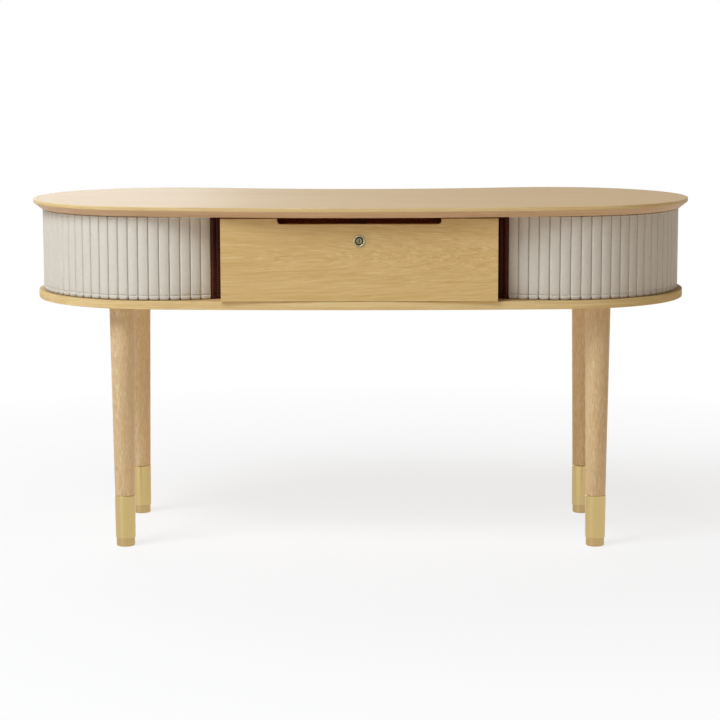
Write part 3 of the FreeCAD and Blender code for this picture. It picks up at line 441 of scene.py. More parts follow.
# %% Pebbled hides
def pebbled(name, tones, pebble, blotch, relief, **values):
    """Voronoi cells pebble mm wide, with painted shade in their creases, over slow blotches blotch mm wide.
    """
    material, tree, shader = new_material(name, **values)
    place = add(tree, "TexCoord").outputs["Object"]
    cells = add(tree, "TexVoronoi", {"Vector": place, "Scale": 1 / (pebble * MM)}, feature="SMOOTH_F1")
    # painted shade: the creases between the pebbles take the darker crease tone
    crease_shade = add(tree, "MapRange", {"Value": cells.outputs["Distance"], "From Min": 0.35, "From Max": 0.75,
                                    "To Max": 0.4})
    slow = add(tree, "TexNoise", {"Vector": place, "Scale": 1 / (blotch * MM), "Detail": 4})
    patch = add(tree, "MapRange", {"Value": slow.outputs["Fac"], "From Min": 0.35, "From Max": 0.65})
    ground = add(tree, "Mix", {0: patch.outputs[0], 6: linear(tones["dull"]), 7: linear(tones["light"])},
                 data_type="RGBA")
    colour = add(tree, "Mix", {0: crease_shade.outputs[0], 6: ground.outputs[2], 7: linear(tones["crease_shade"])},
                 data_type="RGBA")
    height = add(tree, "Math", {0: 1, 1: cells.outputs["Distance"]}, operation="SUBTRACT")
    bump = add(tree, "Bump", {"Height": height.outputs[0], "Strength": relief, "Distance": 0.3 * MM})
    tree.links.new(colour.outputs[2], shader.inputs["Base Color"])
    tree.links.new(bump.outputs[0], shader.inputs["Normal"])
    return material


leatherette = pebbled(
    "embossed_leatherette", {"light": "#d4cdc0", "dull": "#d1cabd", "crease_shade": "#bcb4a6"},
    pebble=1.5, blotch=9, relief=0.35, Roughness=0.55, IOR=1.5, Specular_IOR_Level=0.35)
hide = pebbled(
    "dyed_cowhide", {"light": "#481b0f", "dull": "#38150b", "crease_shade": "#230c06"},
    pebble=1.8, blotch=14, relief=0.4, Roughness=0.5, IOR=1.5, Specular_IOR_Level=0.14)
suede = pebbled(
    "brown_suede", {"light": "#b86024", "dull": "#994f1a", "crease_shade": "#713812"},
    pebble=1.2, blotch=7, relief=0.5, Roughness=1, IOR=1.5, Specular_IOR_Level=0)
print("hides:", leatherette.name, hide.name, suede.name)

# %% [markdown]
# ## Thread and canvas
# The hems are sewn with polyester thread, which is twisted and a little shiny. Cotton canvas is
# glued behind the slats and is what bends when the tambour runs. Its weave is drawn on the
# piece's own UV map, in metres: one wave for the warp and one for the weft, and the higher of the
# two is the thread on top. Threads of 0.6 mm would blur, so they are drawn at 1.5 mm.

# %% Thread and canvas materials
TWIST = 0.5
# how many radians the wave pattern makes in a unit of its scale
WAVE_RADIANS = 20
CANVAS_THREAD = 1.5


def twisted_thread(name, code, groove_shade_code):
    """Oblique bands about TWIST mm wide, from a wave along the diagonal of the axes: the yarn's twist, with
    painted shade in its grooves.
    """
    material, tree, shader = new_material(name, Roughness=0.6, IOR=1.5)
    place = add(tree, "TexCoord").outputs["Object"]
    twist = add(tree, "TexWave", {"Vector": place, "Scale": 1 / (TWIST * MM) / WAVE_RADIANS},
                bands_direction="DIAGONAL")
    # painted shade: the wave darkens the grooves of the twist
    colour = add(tree, "Mix", {0: twist.outputs["Fac"], 6: linear(groove_shade_code), 7: linear(code)},
                 data_type="RGBA")
    tree.links.new(colour.outputs[2], shader.inputs["Base Color"])
    return material


def woven_canvas(name, pitch):
    """Plain weave: the sine of u times the sine of v, one half turn a thread, is which thread lies on top;
    the lower one is painted darker as shade.
    """
    material, tree, shader = new_material(name, Roughness=0.9, IOR=1.5, Specular_IOR_Level=0.2)
    spot = add(tree, "SeparateXYZ", {0: add(tree, "UVMap", uv_map="UVMap").outputs[0]})
    waves = []
    for axis in "XY":
        turns = add(tree, "Math", {0: spot.outputs[axis], 1: math.pi / (pitch * MM)}, operation="MULTIPLY")
        waves.append(add(tree, "Math", {0: turns.outputs[0]}, operation="SINE").outputs[0])
    over = add(tree, "Math", {0: waves[0], 1: waves[1]}, operation="MULTIPLY")
    height = add(tree, "MapRange", {"Value": over.outputs[0], "From Min": -1, "From Max": 1})
    # painted shade: where a thread dips under the other, its colour turns darker
    colour = add(tree, "Mix", {0: height.outputs[0], 6: linear("#8f8470"), 7: linear("#b5aa94")},
                 data_type="RGBA")
    bump = add(tree, "Bump", {"Height": height.outputs[0], "Strength": 0.5, "Distance": 0.3 * MM})
    tree.links.new(colour.outputs[2], shader.inputs["Base Color"])
    tree.links.new(bump.outputs[0], shader.inputs["Normal"])
    return material


pale_thread = twisted_thread("polyester_thread_pale", "#d5cdc0", "#b9b0a2")
brown_thread = twisted_thread("polyester_thread_brown", "#8a5440", "#5e3426")
canvas = woven_canvas("cotton_canvas", CANVAS_THREAD)
print("canvas threads drawn", CANVAS_THREAD, "mm wide")

# %% [markdown]
# ## Brass, nickel and steel
# The ferrules are drawn brass tube, satin-brushed round the leg and clear-lacquered, so they keep
# a broad soft highlight with fine rings in it. The feet are turned and show coarser tool rings.
# The lock is nickel-plated, and the runners and fixings are zinc-plated steel with its faint
# crystals. A metal's colour is its reflection, so each differs mostly in tone and roughness.

# %% Metals
RING_REACH = 60


def ringed_metal(name, code, ring, relief, **values):
    """Metal with rings of height ring mm round the z axis: noise that is very long in x and y."""
    material, tree, shader = new_material(name, Metallic=1, Base_Color=linear(code), **values)
    place = add(tree, "TexCoord").outputs["Object"]
    scale = (1 / (RING_REACH * MM), 1 / (RING_REACH * MM), 1 / (ring * MM))
    rings = add(tree, "Mapping", {"Vector": place, "Scale": scale})
    noise = add(tree, "TexNoise", {"Vector": rings.outputs[0], "Scale": 1, "Detail": 2})
    bump = add(tree, "Bump", {"Height": noise.outputs["Fac"], "Strength": relief, "Distance": 0.1 * MM})
    gloss = add(tree, "MapRange", {"Value": noise.outputs["Fac"], "To Min": values["Roughness"] - 0.08,
                                   "To Max": values["Roughness"] + 0.08})
    tree.links.new(gloss.outputs[0], shader.inputs["Roughness"])
    tree.links.new(bump.outputs[0], shader.inputs["Normal"])
    return material


def plated_metal(name, bright, dull, crystal, roughness):
    """Plated metal: Voronoi patches crystal mm wide, each a little brighter or duller than the next."""
    material, tree, shader = new_material(name, Metallic=1, Roughness=roughness)
    place = add(tree, "TexCoord").outputs["Object"]
    cells = add(tree, "TexVoronoi", {"Vector": place, "Scale": 1 / (crystal * MM)})
    shade = add(tree, "SeparateColor", {0: cells.outputs["Color"]})
    colour = add(tree, "Mix", {0: shade.outputs[0], 6: linear(dull), 7: linear(bright)}, data_type="RGBA")
    tree.links.new(colour.outputs[2], shader.inputs["Base Color"])
    return material


brass_tube = ringed_metal("satin_brass_tube", "#ccb47b", ring=0.5, relief=0.12, Roughness=0.24)
brass_turned = ringed_metal("turned_brass", "#bfa572", ring=1.6, relief=0.2, Roughness=0.26)
nickel = plated_metal("nickel_plate", "#c9c3b2", "#b7b09c", crystal=1.5, roughness=0.22)
zinc = plated_metal("zinc_plated_steel", "#c4c6c6", "#a9abac", crystal=3, roughness=0.38)
brown_steel = plated_metal("browned_steel", "#3f1e0c", "#331809", crystal=2, roughness=0.7)
print("metals:", brass_tube.name, brass_turned.name, nickel.name, zinc.name, brown_steel.name)

# %% [markdown]
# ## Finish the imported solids
# The record's slots say what each solid is made of. One table turns a slot into a finish, and a
# second names the solids that differ from their slot, such as a board with a lipping.

# %% Give every solid its finish
FINISH = {
    "oak_veneer": oak_upright, "oak_solid": oak_turned, "carcase_board": oak_upright,
    "drawer_board": ply_sides, "slat_leatherette": leatherette, "brown_leather": hide,
    "backing_cloth": canvas, "brass": brass_tube, "steel": zinc, "dark_steel": brown_steel, "nickel": nickel,
}
OWN_FINISH = {
    "top_panel": oak_top, "base_panel": oak_base, "drawer_front": oak_front,
    "drawer_back": ply_back, "drawer_bottom": ply_bottom,
    **{name: brass_turned for name in nodes if name.startswith("levelling_foot")},
}
for node_name, node in nodes.items():
    node.data.materials[0] = OWN_FINISH.get(node_name, FINISH[node.data.materials[0].name])
print("finished", len(nodes), "solids;", len(OWN_FINISH), "of them by name")

# %% [markdown]
# ## From arrays to pieces
# A piece below is a stack of rings: an outline of points, repeated up its height or along its
# length. As an array it has one axis for the copies, one for the rings, one for the points and
# one for x, y and z, so whole slats are moved, bent or pinched by one line of arithmetic.

# %% Helpers for ringed pieces
SHARP_ANGLE = math.radians(50)


def ring_faces(copies, rings, points, sleeve=False):
    """Quads between neighbouring points of neighbouring rings. Each copy is closed by a face at both ends,
    or, for a sleeve, by joining its last ring to its first."""
    ring, point = np.meshgrid(np.arange(rings if sleeve else rings - 1), np.arange(points), indexing="ij")
    up, beside = (ring + 1) % rings, (point + 1) % points
    here, above = ring * points, up * points
    quads = np.stack([here + point, here + beside, above + beside, above + point], -1)
    starts = np.arange(copies)[:, None] * rings * points
    faces = (quads.reshape(1, -1, 4) + starts[:, :, None]).reshape(-1, 4).tolist()
    if not sleeve:
        faces += (starts + np.arange(points)[::-1]).tolist()
        faces += (starts + (rings - 1) * points + np.arange(points)).tolist()
    return faces


def make_piece(name, vertices, faces, material, body, replaced=()):
    """A smooth mesh of these points and faces, turned outwards, that rides on a body of the desk."""
    mesh = bpy.data.meshes.new(name)
    mesh.from_pydata(vertices.reshape(-1, 3).tolist(), [], faces)
    shell = bmesh.new()
    shell.from_mesh(mesh)
    bmesh.ops.recalc_face_normals(shell, faces=shell.faces)
    shell.to_mesh(mesh)
    shell.free()
    mesh.polygons.foreach_set("use_smooth", np.ones(len(mesh.polygons), bool))
    mesh.set_sharp_from_angle(angle=SHARP_ANGLE)
    mesh.materials.append(material)
    piece = bpy.data.objects.new(name, mesh)
    bpy.context.scene.collection.objects.link(piece)
    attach(piece, body)
    if replaced:
        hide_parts(*replaced)
    return piece


def on_drum(points, angles, side):
    """From a slat's own axes, (across, out, up) in mm, to the desk: turned by its angle about the drum's
    axis and moved there; the left drum is the mirror image of the right one."""
    across, out, up = np.moveaxis(points, -1, 0)
    x = out * np.sin(angles) + across * np.cos(angles)
    y = across * np.sin(angles) - out * np.cos(angles)
    z = np.broadcast_to(up, x.shape)
    return np.stack([side * (drum_x + x * MM), drum_y + y * MM, z * MM], axis=-1)


print("a box of 2 rings of 4 points has", len(ring_faces(1, 2, 4)), "faces")

# %% [markdown]
# ## Lock rim
# The lock's housing is turned: a rolled rim stands round a steep dish, and the plug with its
# keyway sits in the middle. Its nickel is polished, so the dish mirrors only itself and the plug
# and looks dark, while the rim mirrors the pale room. The profile is carried round the lock's
# axis; its last ring joins the first, because a housing is a tube.

# %% Turn the lock rim
# radius, and depth behind the nose, in mm
RIM_PROFILE = np.array([
    (6.6, 3.4), (7.0, 3.2), (7.6, 2.6), (8.8, 1.4), (9.6, 0.6), (10.3, 0.1), (11.0, 0), (11.8, 0.1),
    (12.4, 0.5), (12.8, 1.1), (13.0, 1.9), (13.0, 2.98), (9.3, 2.98), (9.3, 29), (6.6, 29)])
lock_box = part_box("lock_housing")
lock_up = (lock_box[0].z + lock_box[1].z) / 2
rim_turn = np.linspace(0, 2 * math.pi, 64, endpoint=False)
rim_radius = RIM_PROFILE[:, :1] * MM
rim_back = lock_box[0].y + RIM_PROFILE[:, 1:] * MM
rim_points = np.stack(np.broadcast_arrays(
    rim_radius * np.sin(rim_turn), rim_back, lock_up + rim_radius * np.cos(rim_turn)), axis=-1)

rim_nickel, tree, shader = new_material(
    "polished_nickel_rim", Metallic=1, Roughness=0.2, Base_Color=linear("#a19b81"))
place = add(tree, "TexCoord").outputs["Object"]
scratches = add(tree, "TexNoise", {"Vector": place, "Scale": 1 / (0.4 * MM)})
scratch_bump = add(tree, "Bump", {"Height": scratches.outputs["Fac"], "Strength": 0.1, "Distance": 0.05 * MM})
tree.links.new(scratch_bump.outputs[0], shader.inputs["Normal"])
make_piece("lock_rim", rim_points, ring_faces(1, *rim_points.shape[:2], sleeve=True), rim_nickel,
           "drawer", ["lock_housing"])
print("lock rim", 2 * RIM_PROFILE[:, 0].max(), "mm across")

# %% [markdown]
# ## Lock plug
# The imported plug keeps its shape. Keys have worn the plating on its nose to a patchy, duller
# nickel. Inside the keyway the colour is painted near black as shade, by a mask: a little behind
# the nose, and near the lock's axis.

# %% Finish the lock's plug
WORN_PATCH = 0.9
# mm behind the nose, and from the axis, between which the painted shade of the keyway comes and goes
KEYWAY_SHADE_START, KEYWAY_SHADE_FULL = 0.2, 0.9
CORE_INSIDE, CORE_OUTSIDE = 4.5, 5.5
plug_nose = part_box("lock_plug")[0].y
plug_nickel, tree, shader = new_material("worn_nickel_plug_shaded_keyway", Metallic=1, Roughness=0.3)
place = add(tree, "TexCoord").outputs["Object"]
patches = add(tree, "TexVoronoi", {"Vector": place, "Scale": 1 / (WORN_PATCH * MM)})
shade = add(tree, "SeparateColor", {0: patches.outputs["Color"]})
worn = add(tree, "Mix", {0: shade.outputs[0], 6: linear("#756d4e"), 7: linear("#978f6e")}, data_type="RGBA")
depth = add(tree, "SeparateXYZ", {0: place})
below_nose = add(tree, "MapRange", {
    "Value": depth.outputs["Y"],
    "From Min": plug_nose + KEYWAY_SHADE_START * MM, "From Max": plug_nose + KEYWAY_SHADE_FULL * MM})
seen_flat = add(tree, "VectorMath", {0: place, 1: (1, 0, 1)}, operation="MULTIPLY")
from_axis = add(tree, "VectorMath", {0: seen_flat.outputs[0], 1: (0, 0, lock_up)}, operation="DISTANCE")
in_core = add(tree, "MapRange", {
    "Value": from_axis.outputs["Value"], "From Min": CORE_INSIDE * MM, "From Max": CORE_OUTSIDE * MM,
    "To Min": 1, "To Max": 0})
# painted shade: near black inside the keyway, where the two masks meet
keyway_shade_mask = add(tree, "Math", {0: below_nose.outputs[0], 1: in_core.outputs[0]}, operation="MULTIPLY")
plug_colour = add(tree, "Mix", {0: keyway_shade_mask.outputs[0], 6: worn.outputs[2], 7: linear("#16120a")},
                  data_type="RGBA")
tree.links.new(plug_colour.outputs[2], shader.inputs["Base Color"])
nodes["lock_plug"].data.materials[0] = plug_nickel
print("lock plug finished as", plug_nickel.name)

# %% [markdown]
# ## Legs off the lathe
# A leg is turned a hair slimmer than the brass below it, so that its rim stands proud and guards
# the end grain. A spigot goes down into the ferrule; the levelling foot's stud and the bolt that
# holds the leg to the base have holes of their own. All of this is one profile, carried round the
# leg's axis.

# %% Turn the legs
# radii in mm, and the lengths of the shoulder's ease and of the room above the stud
LEG_TOP, LEG_SHOULDER, SPIGOT, STUD_HOLE, BOLT_HOLE = 27.6, 21.9, 20.1, 5.4, 4.1
SHOULDER_EASE, STUD_SPARE = 0.6, 6
leg_turn = np.linspace(0, 2 * math.pi, 96, endpoint=False)


def turned_leg(corner):
    """Each point of the profile at its radius from the leg's axis: up and out of the stud's hole, over the
    spigot and its shoulder, up the taper, and in again to the bolt's hole."""
    low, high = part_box("leg_" + corner)
    hole_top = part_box("levelling_foot_" + corner)[1].z + STUD_SPARE * MM
    bolt_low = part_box("leg_bolts")[0].z
    profile = np.array([
        (STUD_HOLE, hole_top), (STUD_HOLE, low.z), (SPIGOT, low.z), (SPIGOT, ferrule_top),
        (LEG_SHOULDER - SHOULDER_EASE, ferrule_top), (LEG_SHOULDER, ferrule_top + SHOULDER_EASE * MM),
        (LEG_TOP, high.z), (BOLT_HOLE, high.z), (BOLT_HOLE, bolt_low)])
    radius, height = profile[:, :1] * MM, profile[:, 1:]
    axis = (low + high) / 2
    return np.stack(np.broadcast_arrays(
        axis.x + radius * np.cos(leg_turn), axis.y + radius * np.sin(leg_turn), height), axis=-1)


for corner in ("front_left", "front_right", "rear_left", "rear_right"):
    leg_points = turned_leg(corner)
    make_piece("turned_leg_" + corner, leg_points, ring_faces(1, *leg_points.shape[:2]), oak_turned,
               "carcase", ["leg_" + corner])
print("legs taper from", 2 * LEG_TOP, "to", 2 * LEG_SHOULDER, "mm")

# %% [markdown]
# ## Tambour slats
# Each slat is a strip of wood wrapped in leatherette, with a tongue at either end that runs in
# the track. The cover is folded over the ends and sewn down in a hem, which pinches it and leaves
# small wrinkles; the upper hem is narrow, as the top's edge hides it. One could model one slat and
# array it; worked out as one array, every slat gets wrinkles of its own from a seeded random phase.

# %% Outline of a slat
SLAT_COUNT = 29
SLAT_TURN = math.radians(4.7)
FIRST_TURN = math.radians(-24.5)
SLAT_HALF, SLAT_BACK_HALF, CROWN_HALF = 11.1, 10.9, 7.0
SLAT_BACK, SLAT_SHOULDER, SLAT_FACE, CROWN_RISE = 272.5, 276.9, 280.2, 0.75


def slat_outline():
    """Anticlockwise (across, out): back corner, quarter ellipse, crown that falls with the square of the
    distance from its middle, quarter ellipse, back corner."""
    quarter = np.linspace(0, math.pi / 2, 6)
    edge = np.stack([CROWN_HALF + (SLAT_HALF - CROWN_HALF) * np.cos(quarter),
                     SLAT_SHOULDER + (SLAT_FACE - SLAT_SHOULDER) * np.sin(quarter)], axis=1)
    across = np.linspace(CROWN_HALF, -CROWN_HALF, 11)[1:-1]
    crown = np.stack([across, SLAT_FACE + CROWN_RISE * (1 - (across / CROWN_HALF) ** 2)], axis=1)
    return np.concatenate([
        [(SLAT_BACK_HALF, SLAT_BACK)], edge, crown, edge[::-1] * (-1, 1), [(-SLAT_BACK_HALF, SLAT_BACK)]])


def outward(outline):
    """Unit normals of a closed anticlockwise outline, from the line between each point's neighbours."""
    chord = np.roll(outline, -1, axis=0) - np.roll(outline, 1, axis=0)
    return np.stack([chord[:, 1], -chord[:, 0]], axis=1) / np.linalg.norm(chord, axis=1, keepdims=True)


print("a slat's outline has", len(slat_outline()), "points")

# %% Slats with hems
# in mm, at the lower and the upper end
HEMS, HEM_PINCHES, SLAT_CORNERS = (9.5, 5.0), (1.25, 0.4), (5.0, 2.0)
END_FOLD, PINCH_WIDTH, HEM_SWELL = 1.6, 1.1, 0.4
WRINKLE_SHARE = 0.22
WRINKLE_PITCH, WRINKLE_SLANT, WRINKLE_REACH = 6.3, 3, 5
TONGUE_SPREAD_SHARE = 1.2
# where the slat's back, shoulder and face come to lie on the tongue
TONGUE_OUT = (273.5, 277.2, 277.5)
LOWER_STEPS = [0, 0.2, 0.6, 1.2, 2, 3.2, 4.2, 5, 5.8, 7, 8, 8.8, 9.5, 10.2, 11, 12.5, 15, 19, 26, 40, 62]


def ring_heights(low, high):
    """Heights of the rings: close together near both ends, where the cover is folded and sewn."""
    lower = np.array(LOWER_STEPS)
    return np.concatenate([low + lower, [(low + high) / 2], high - lower[::-1]])


def quarter_round(from_end, radius):
    """How far a corner draws in at a distance d from the end: its radius minus the root of the radius
    squared less (radius - d) squared."""
    return radius - np.sqrt(radius ** 2 - (radius - np.minimum(from_end, radius)) ** 2)


def covered(outline, heights, low, high, fold, corner, phases):
    """The outline at each height, drawn in by quarter circles at the ends: of radius fold outwards, and
    across of the lower and upper radius in corner. On its face the hem is a bell-shaped dent, the cover
    swells from hem to end, and wrinkles are a sine that fades from the hem."""
    from_end = np.minimum(heights - low, high - heights)[None, :, None]
    is_lower = (heights < (low + high) / 2)[None, :, None]
    hem, pinch, corner_radius = (np.where(is_lower, *pair) for pair in (HEMS, HEM_PINCHES, corner))
    dent = pinch * np.exp(-((from_end - hem) / PINCH_WIDTH) ** 2)
    swell = HEM_SWELL * np.sin(math.pi * np.clip(from_end / hem, 0, 1)) ** 2
    turns = 2 * math.pi * outline[:, 0] / WRINKLE_PITCH
    wave = np.sin(turns + phases[:, None, None] + from_end / WRINKLE_SLANT)
    wrinkle = WRINKLE_SHARE * wave * pinch * np.exp(-((from_end - hem) / WRINKLE_REACH) ** 2)
    face = np.clip((outline[:, 1] - SLAT_SHOULDER) / (SLAT_FACE - SLAT_SHOULDER), 0, 1)
    inward = -outward(outline)
    across = outline[:, 0] + quarter_round(from_end, corner_radius) * inward[:, 0]
    out = outline[:, 1] + quarter_round(from_end, fold) * inward[:, 1] + face * (swell - dent + wrinkle)
    across, out, up = np.broadcast_arrays(across, out, heights[None, :, None])
    return np.stack([across, out, up], axis=-1)


def with_tongues(rings, low, high):
    """Two more rings at each end: the outline squeezed to the tongue's rectangle, there and at its tip."""
    across = np.clip(rings[:, :1, :, 0] * TONGUE_SPREAD_SHARE, -SLAT_BACK_HALF, SLAT_BACK_HALF)
    out = np.interp(rings[:, :1, :, 1], [SLAT_BACK, SLAT_SHOULDER, SLAT_FACE], TONGUE_OUT)
    heights = (low, rings[0, 0, 0, 2], rings[0, -1, 0, 2], high)
    ends = [np.stack([across, out, np.full_like(out, height)], axis=-1) for height in heights]
    return np.concatenate([*ends[:2], rings, *ends[2:]], axis=1)


random = np.random.default_rng(29)
slat_turns = FIRST_TURN + SLAT_TURN * (np.arange(SLAT_COUNT) + 0.5)
for side_name, side in SIDES.items():
    phases = random.uniform(0, 2 * math.pi, SLAT_COUNT)
    heights = ring_heights(slat_low, slat_high)
    rings = covered(slat_outline(), heights, slat_low, slat_high, END_FOLD, SLAT_CORNERS, phases)
    rings = with_tongues(rings, tongue_low, tongue_high)
    slats = on_drum(rings, slat_turns[:, None, None], side)
    make_piece(f"covered_slats_{side_name}", slats, ring_faces(*slats.shape[:3]), leatherette,
               f"tambour_{side_name}", [f"tambour_slats_{side_name}"])
print(SLAT_COUNT, "slats a side,", slats.shape[1] * slats.shape[2], "points each")

# %% [markdown]
# ## Hem stitches
# A machine sews the hem in running stitch, and each stitch lies in the pinch it makes. A stitch
# is a small spindle of thread: rings of six points whose radius shrinks towards both ends. It is
# repeated hundreds of times, so it has only a few dozen faces.

# %% Sew the hems
STITCH_STEPS = np.array([-1, -0.6, 0, 0.6, 1])
STITCH_POINTS = 6
# the share of a full taper, so that a stitch ends blunt
STITCH_TAPER_SHARE = 0.92
HEM_STITCHES, HEM_STITCH_PITCH, HEM_STITCH_LENGTH, HEM_STITCH_RADIUS = 6, 3.1, 2.3, 0.38


def spindles(centres, length, radius, axis):
    """Rings about each centre whose radius is the root of 1 minus (taper times t) squared, for t from -1 to
    1 along the axis: 0 is across the slat and 2 is up it."""
    turn = np.linspace(0, 2 * math.pi, STITCH_POINTS, endpoint=False)
    girth = radius * np.sqrt(1 - (STITCH_TAPER_SHARE * STITCH_STEPS) ** 2)[:, None]
    shape = np.zeros((len(STITCH_STEPS), STITCH_POINTS, 3))
    shape[..., axis] = STITCH_STEPS[:, None] * length / 2
    shape[..., 1] = girth * np.cos(turn)
    shape[..., 2 - axis] = girth * np.sin(turn)
    return centres[..., None, None, :] + shape


hem_across = (np.arange(HEM_STITCHES) - (HEM_STITCHES - 1) / 2) * HEM_STITCH_PITCH
hem_face = SLAT_FACE + CROWN_RISE * (1 - (hem_across / CROWN_HALF) ** 2)
hem_heights = (slat_low + HEMS[0], slat_high - HEMS[1])
hem_rows = [np.stack([hem_across, hem_face - pinch, np.full(HEM_STITCHES, height)], axis=-1)
            for height, pinch in zip(hem_heights, HEM_PINCHES)]
hem_rings = spindles(np.concatenate(hem_rows), HEM_STITCH_LENGTH, HEM_STITCH_RADIUS, axis=0)
for side_name, side in SIDES.items():
    sewn = on_drum(hem_rings[None], slat_turns[:, None, None, None], side)
    sewn = sewn.reshape(-1, *hem_rings.shape[1:])
    make_piece(f"hem_stitches_{side_name}", sewn, ring_faces(*sewn.shape[:3]), pale_thread,
               f"tambour_{side_name}")
print(len(sewn), "hem stitches a side")

# %% [markdown]
# ## Leather edge strips
# The leading edge of each tambour is a flat bar in a sleeve of brown cowhide. The sleeve is sewn
# down its middle and near both edges, which raises two soft ribs. It is a true sleeve: rings go
# up its outside and come back down its inside, so the bar stays free within it.

# %% Sleeves of cowhide
LEAD_TURN = math.radians(-27.25)
STRIP_HALF, STRIP_BACK_HALF, STRIP_FOLD = 13.25, 12.89, 0.9
RIBS_HALF, RIB_RISE, RIB_TOP = 12.6, 1.9, 282
EDGE_LOW, EDGE_HIGH, EDGE_EASE = 277.0, 279.0, (13.0, 279.8)
SEAMS, SEAM_DEPTH, SEAM_WIDTH = (-10.8, 0.0, 10.8), 0.5, 0.8
SEAM_FROM_LOW, SEAM_FROM_HIGH, SEAM_PITCH = 4, 3, 4.4
SEAM_STITCH_LENGTH, SEAM_STITCH_RADIUS, SEAM_STITCH_SUNK = 3.3, 0.42, 0.35
BAR_HALF, BAR_BACK, BAR_FACE, BAR_EASE, BAR_SETBACK = 11.45, 273.4, 277.6, 0.2, 0.4


def rib_face(across):
    """How far out the two ribs reach: each is a parabola over half of the strip's width."""
    return SLAT_FACE + RIB_RISE * (1 - ((np.abs(across) - STRIP_HALF / 2) / (STRIP_HALF / 2)) ** 2)


def strip_outline():
    """Anticlockwise (across, out): upright sides with a short slope to the face, then the ribs less a
    bell-shaped dent at each seam; the back is flat."""
    across = np.linspace(RIBS_HALF, -RIBS_HALF, 37)
    dents = SEAM_DEPTH * np.exp(-((across[:, None] - np.array(SEAMS)) / SEAM_WIDTH) ** 2).sum(axis=1)
    face = np.stack([across, rib_face(across) - dents], axis=1)
    edge = np.array([
        (STRIP_BACK_HALF, SLAT_BACK), (STRIP_HALF, EDGE_LOW), (STRIP_HALF, EDGE_HIGH), EDGE_EASE])
    return np.concatenate([edge, face, edge[::-1] * (-1, 1)])


def sleeve_rings(outline, low, high):
    """Outside rings upwards, drawn in at the ends, then inside rings downwards on the bar's rectangle."""
    heights = ring_heights(low, high)
    outside = covered(outline, heights, low, high, STRIP_FOLD, (STRIP_FOLD, STRIP_FOLD), np.zeros(1))
    across = outline[:, 0] * BAR_HALF / STRIP_HALF
    out = np.interp(outline[:, 1], [SLAT_BACK, EDGE_HIGH, RIB_TOP], [BAR_BACK, BAR_FACE - BAR_EASE, BAR_FACE])
    inner_heights = np.array([high - BAR_SETBACK, low + BAR_SETBACK])
    across, out, up = np.broadcast_arrays(across, out, inner_heights[None, :, None])
    return np.concatenate([outside, np.stack([across, out, up], axis=-1)], axis=1)


seam_steps = np.arange(slat_low + SEAM_FROM_LOW, slat_high - SEAM_FROM_HIGH, SEAM_PITCH)
seam_across, seam_up = (grid.ravel() for grid in np.meshgrid(SEAMS, seam_steps))
seam_places = np.stack([seam_across, rib_face(seam_across) - SEAM_STITCH_SUNK, seam_up], axis=-1)
seam_rings = spindles(seam_places, SEAM_STITCH_LENGTH, SEAM_STITCH_RADIUS, axis=2)
for side_name, side in SIDES.items():
    sleeve = on_drum(sleeve_rings(strip_outline(), slat_low, slat_high), LEAD_TURN, side)
    make_piece(f"edge_strip_{side_name}", sleeve, ring_faces(*sleeve.shape[:3], sleeve=True), hide,
               f"tambour_{side_name}", [f"tambour_lead_leather_{side_name}"])
    seams = on_drum(seam_rings, LEAD_TURN, side)
    make_piece(f"strip_stitches_{side_name}", seams, ring_faces(*seams.shape[:3]), brown_thread,
               f"tambour_{side_name}")
print(len(seam_rings), "stitches on each strip")

# %% [markdown]
# ## Dust lip behind the finger slot
# The drawer is pulled by a slot cut into its upper edge. Through it shows a dark brown strip: a
# lip of suede that hangs from the top, a finger's depth behind the front, and keeps dust
# and the eye out of the drawer. It is a bent profile carried along x, and waves very slightly, as
# a hanging strip of hide does.

# %% Hang the dust lip
LIP_HALF, LIP_THICK, LIP_BEHIND = 215, 1.6, 14
LIP_FLANGE, LIP_BEND, LIP_DROP, LIP_LEAN = 16, 4, 28, 2.5
LIP_WAVE, LIP_WAVE_LENGTH, LIP_WAVE_DEPTH = 0.5, 95, 30
top_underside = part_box("top_panel")[0].z / MM
drawer_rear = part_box("lock_plug")[1].y / MM


def lip_outline():
    """Outline (y, z) of a strip of even thickness about a path: a level flange under the top, a quarter
    circle, then a drop that leans forward with the square of its depth."""
    flange = np.linspace(LIP_FLANGE, LIP_BEND, 5)[:-1]
    bend = np.linspace(0, math.pi / 2, 7)
    depth = np.linspace(0, LIP_DROP, 9)[1:]
    path = np.concatenate([
        np.stack([flange, np.zeros_like(flange)], axis=1),
        np.stack([LIP_BEND - LIP_BEND * np.sin(bend), LIP_BEND * np.cos(bend) - LIP_BEND], axis=1),
        np.stack([-LIP_LEAN * (depth / LIP_DROP) ** 2, -LIP_BEND - depth], axis=1)])
    slope = np.gradient(path, axis=0)
    normal = np.stack([slope[:, 1], -slope[:, 0]], axis=1) / np.linalg.norm(slope, axis=1, keepdims=True)
    return np.concatenate([path + normal * LIP_THICK / 2, (path - normal * LIP_THICK / 2)[::-1]])


lip = lip_outline() + (drawer_rear + LIP_BEHIND, top_underside - LIP_THICK / 2)
lip_along = np.linspace(-LIP_HALF, LIP_HALF, 61)[:, None]
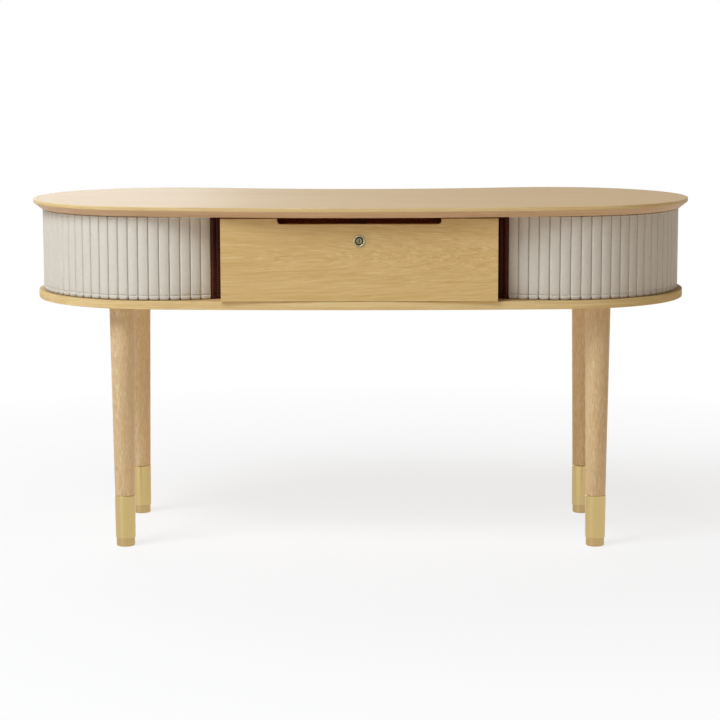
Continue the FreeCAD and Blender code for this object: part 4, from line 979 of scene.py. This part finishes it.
# a sine along the lip that grows from nothing at the top with the depth below it
lip_free = np.clip((top_underside - lip[:, 1]) / LIP_WAVE_DEPTH, 0, 1)
lip_wave = LIP_WAVE * np.sin(2 * math.pi * lip_along / LIP_WAVE_LENGTH) * lip_free
lip_points = np.stack(np.broadcast_arrays(lip_along, lip[:, 0] + lip_wave, lip[:, 1]), axis=-1) * MM
make_piece("dust_lip", lip_points, ring_faces(1, *lip_points.shape[:2]), suede, "carcase")
print("dust lip", 2 * LIP_HALF, "mm long,", round(np.ptp(lip[:, 1])), "mm deep")

# %% [markdown]
# ## Canvas behind the slats
# A cotton canvas is glued across the backs of the slats. It is stretched over them, and dips a
# little into the joint between two slats. The grid below is angle by height, with its UV map in
# metres for the weave, and a Solidify modifier gives it its thickness.

# %% Stretch the canvas
CANVAS_MARGIN, CANVAS_THICK, CANVAS_RADIUS, CANVAS_DIP = 5, 0.8, 271.9, 0.12
canvas_turns = FIRST_TURN + SLAT_TURN * np.linspace(0, SLAT_COUNT, SLAT_COUNT * 6 + 1)
canvas_heights = np.linspace(slat_low + CANVAS_MARGIN, slat_high - CANVAS_MARGIN, 25)
canvas_turn, canvas_up = np.meshgrid(canvas_turns, canvas_heights)
# the radius swells by a quarter of a millimetre at each joint: a cosine of one turn a slat
canvas_out = CANVAS_RADIUS + CANVAS_DIP * np.cos(2 * math.pi * (canvas_turn - FIRST_TURN) / SLAT_TURN)
rows, columns = canvas_turn.shape
row, column = np.meshgrid(np.arange(rows - 1), np.arange(columns - 1), indexing="ij")
corner = (row * columns + column).ravel()
canvas_faces = np.stack([corner, corner + 1, corner + columns + 1, corner + columns], axis=-1)
for side_name, side in SIDES.items():
    points = np.stack([np.zeros_like(canvas_out), canvas_out, canvas_up], axis=-1)
    cloth = make_piece(
        f"backing_canvas_{side_name}", on_drum(points, canvas_turn, side), canvas_faces.tolist(), canvas,
        f"tambour_{side_name}", [f"tambour_cloth_{side_name}"])
    spots = np.empty(len(cloth.data.loops), np.int32)
    cloth.data.loops.foreach_get("vertex_index", spots)
    weave = np.stack([canvas_turn * CANVAS_RADIUS * MM, canvas_up * MM], axis=-1).reshape(-1, 2)[spots]
    cloth.data.uv_layers.new(name="UVMap").data.foreach_set("uv", weave.ravel())
    thickness = cloth.modifiers.new("thickness", "SOLIDIFY")
    thickness.thickness = CANVAS_THICK * MM
    thickness.offset = 0
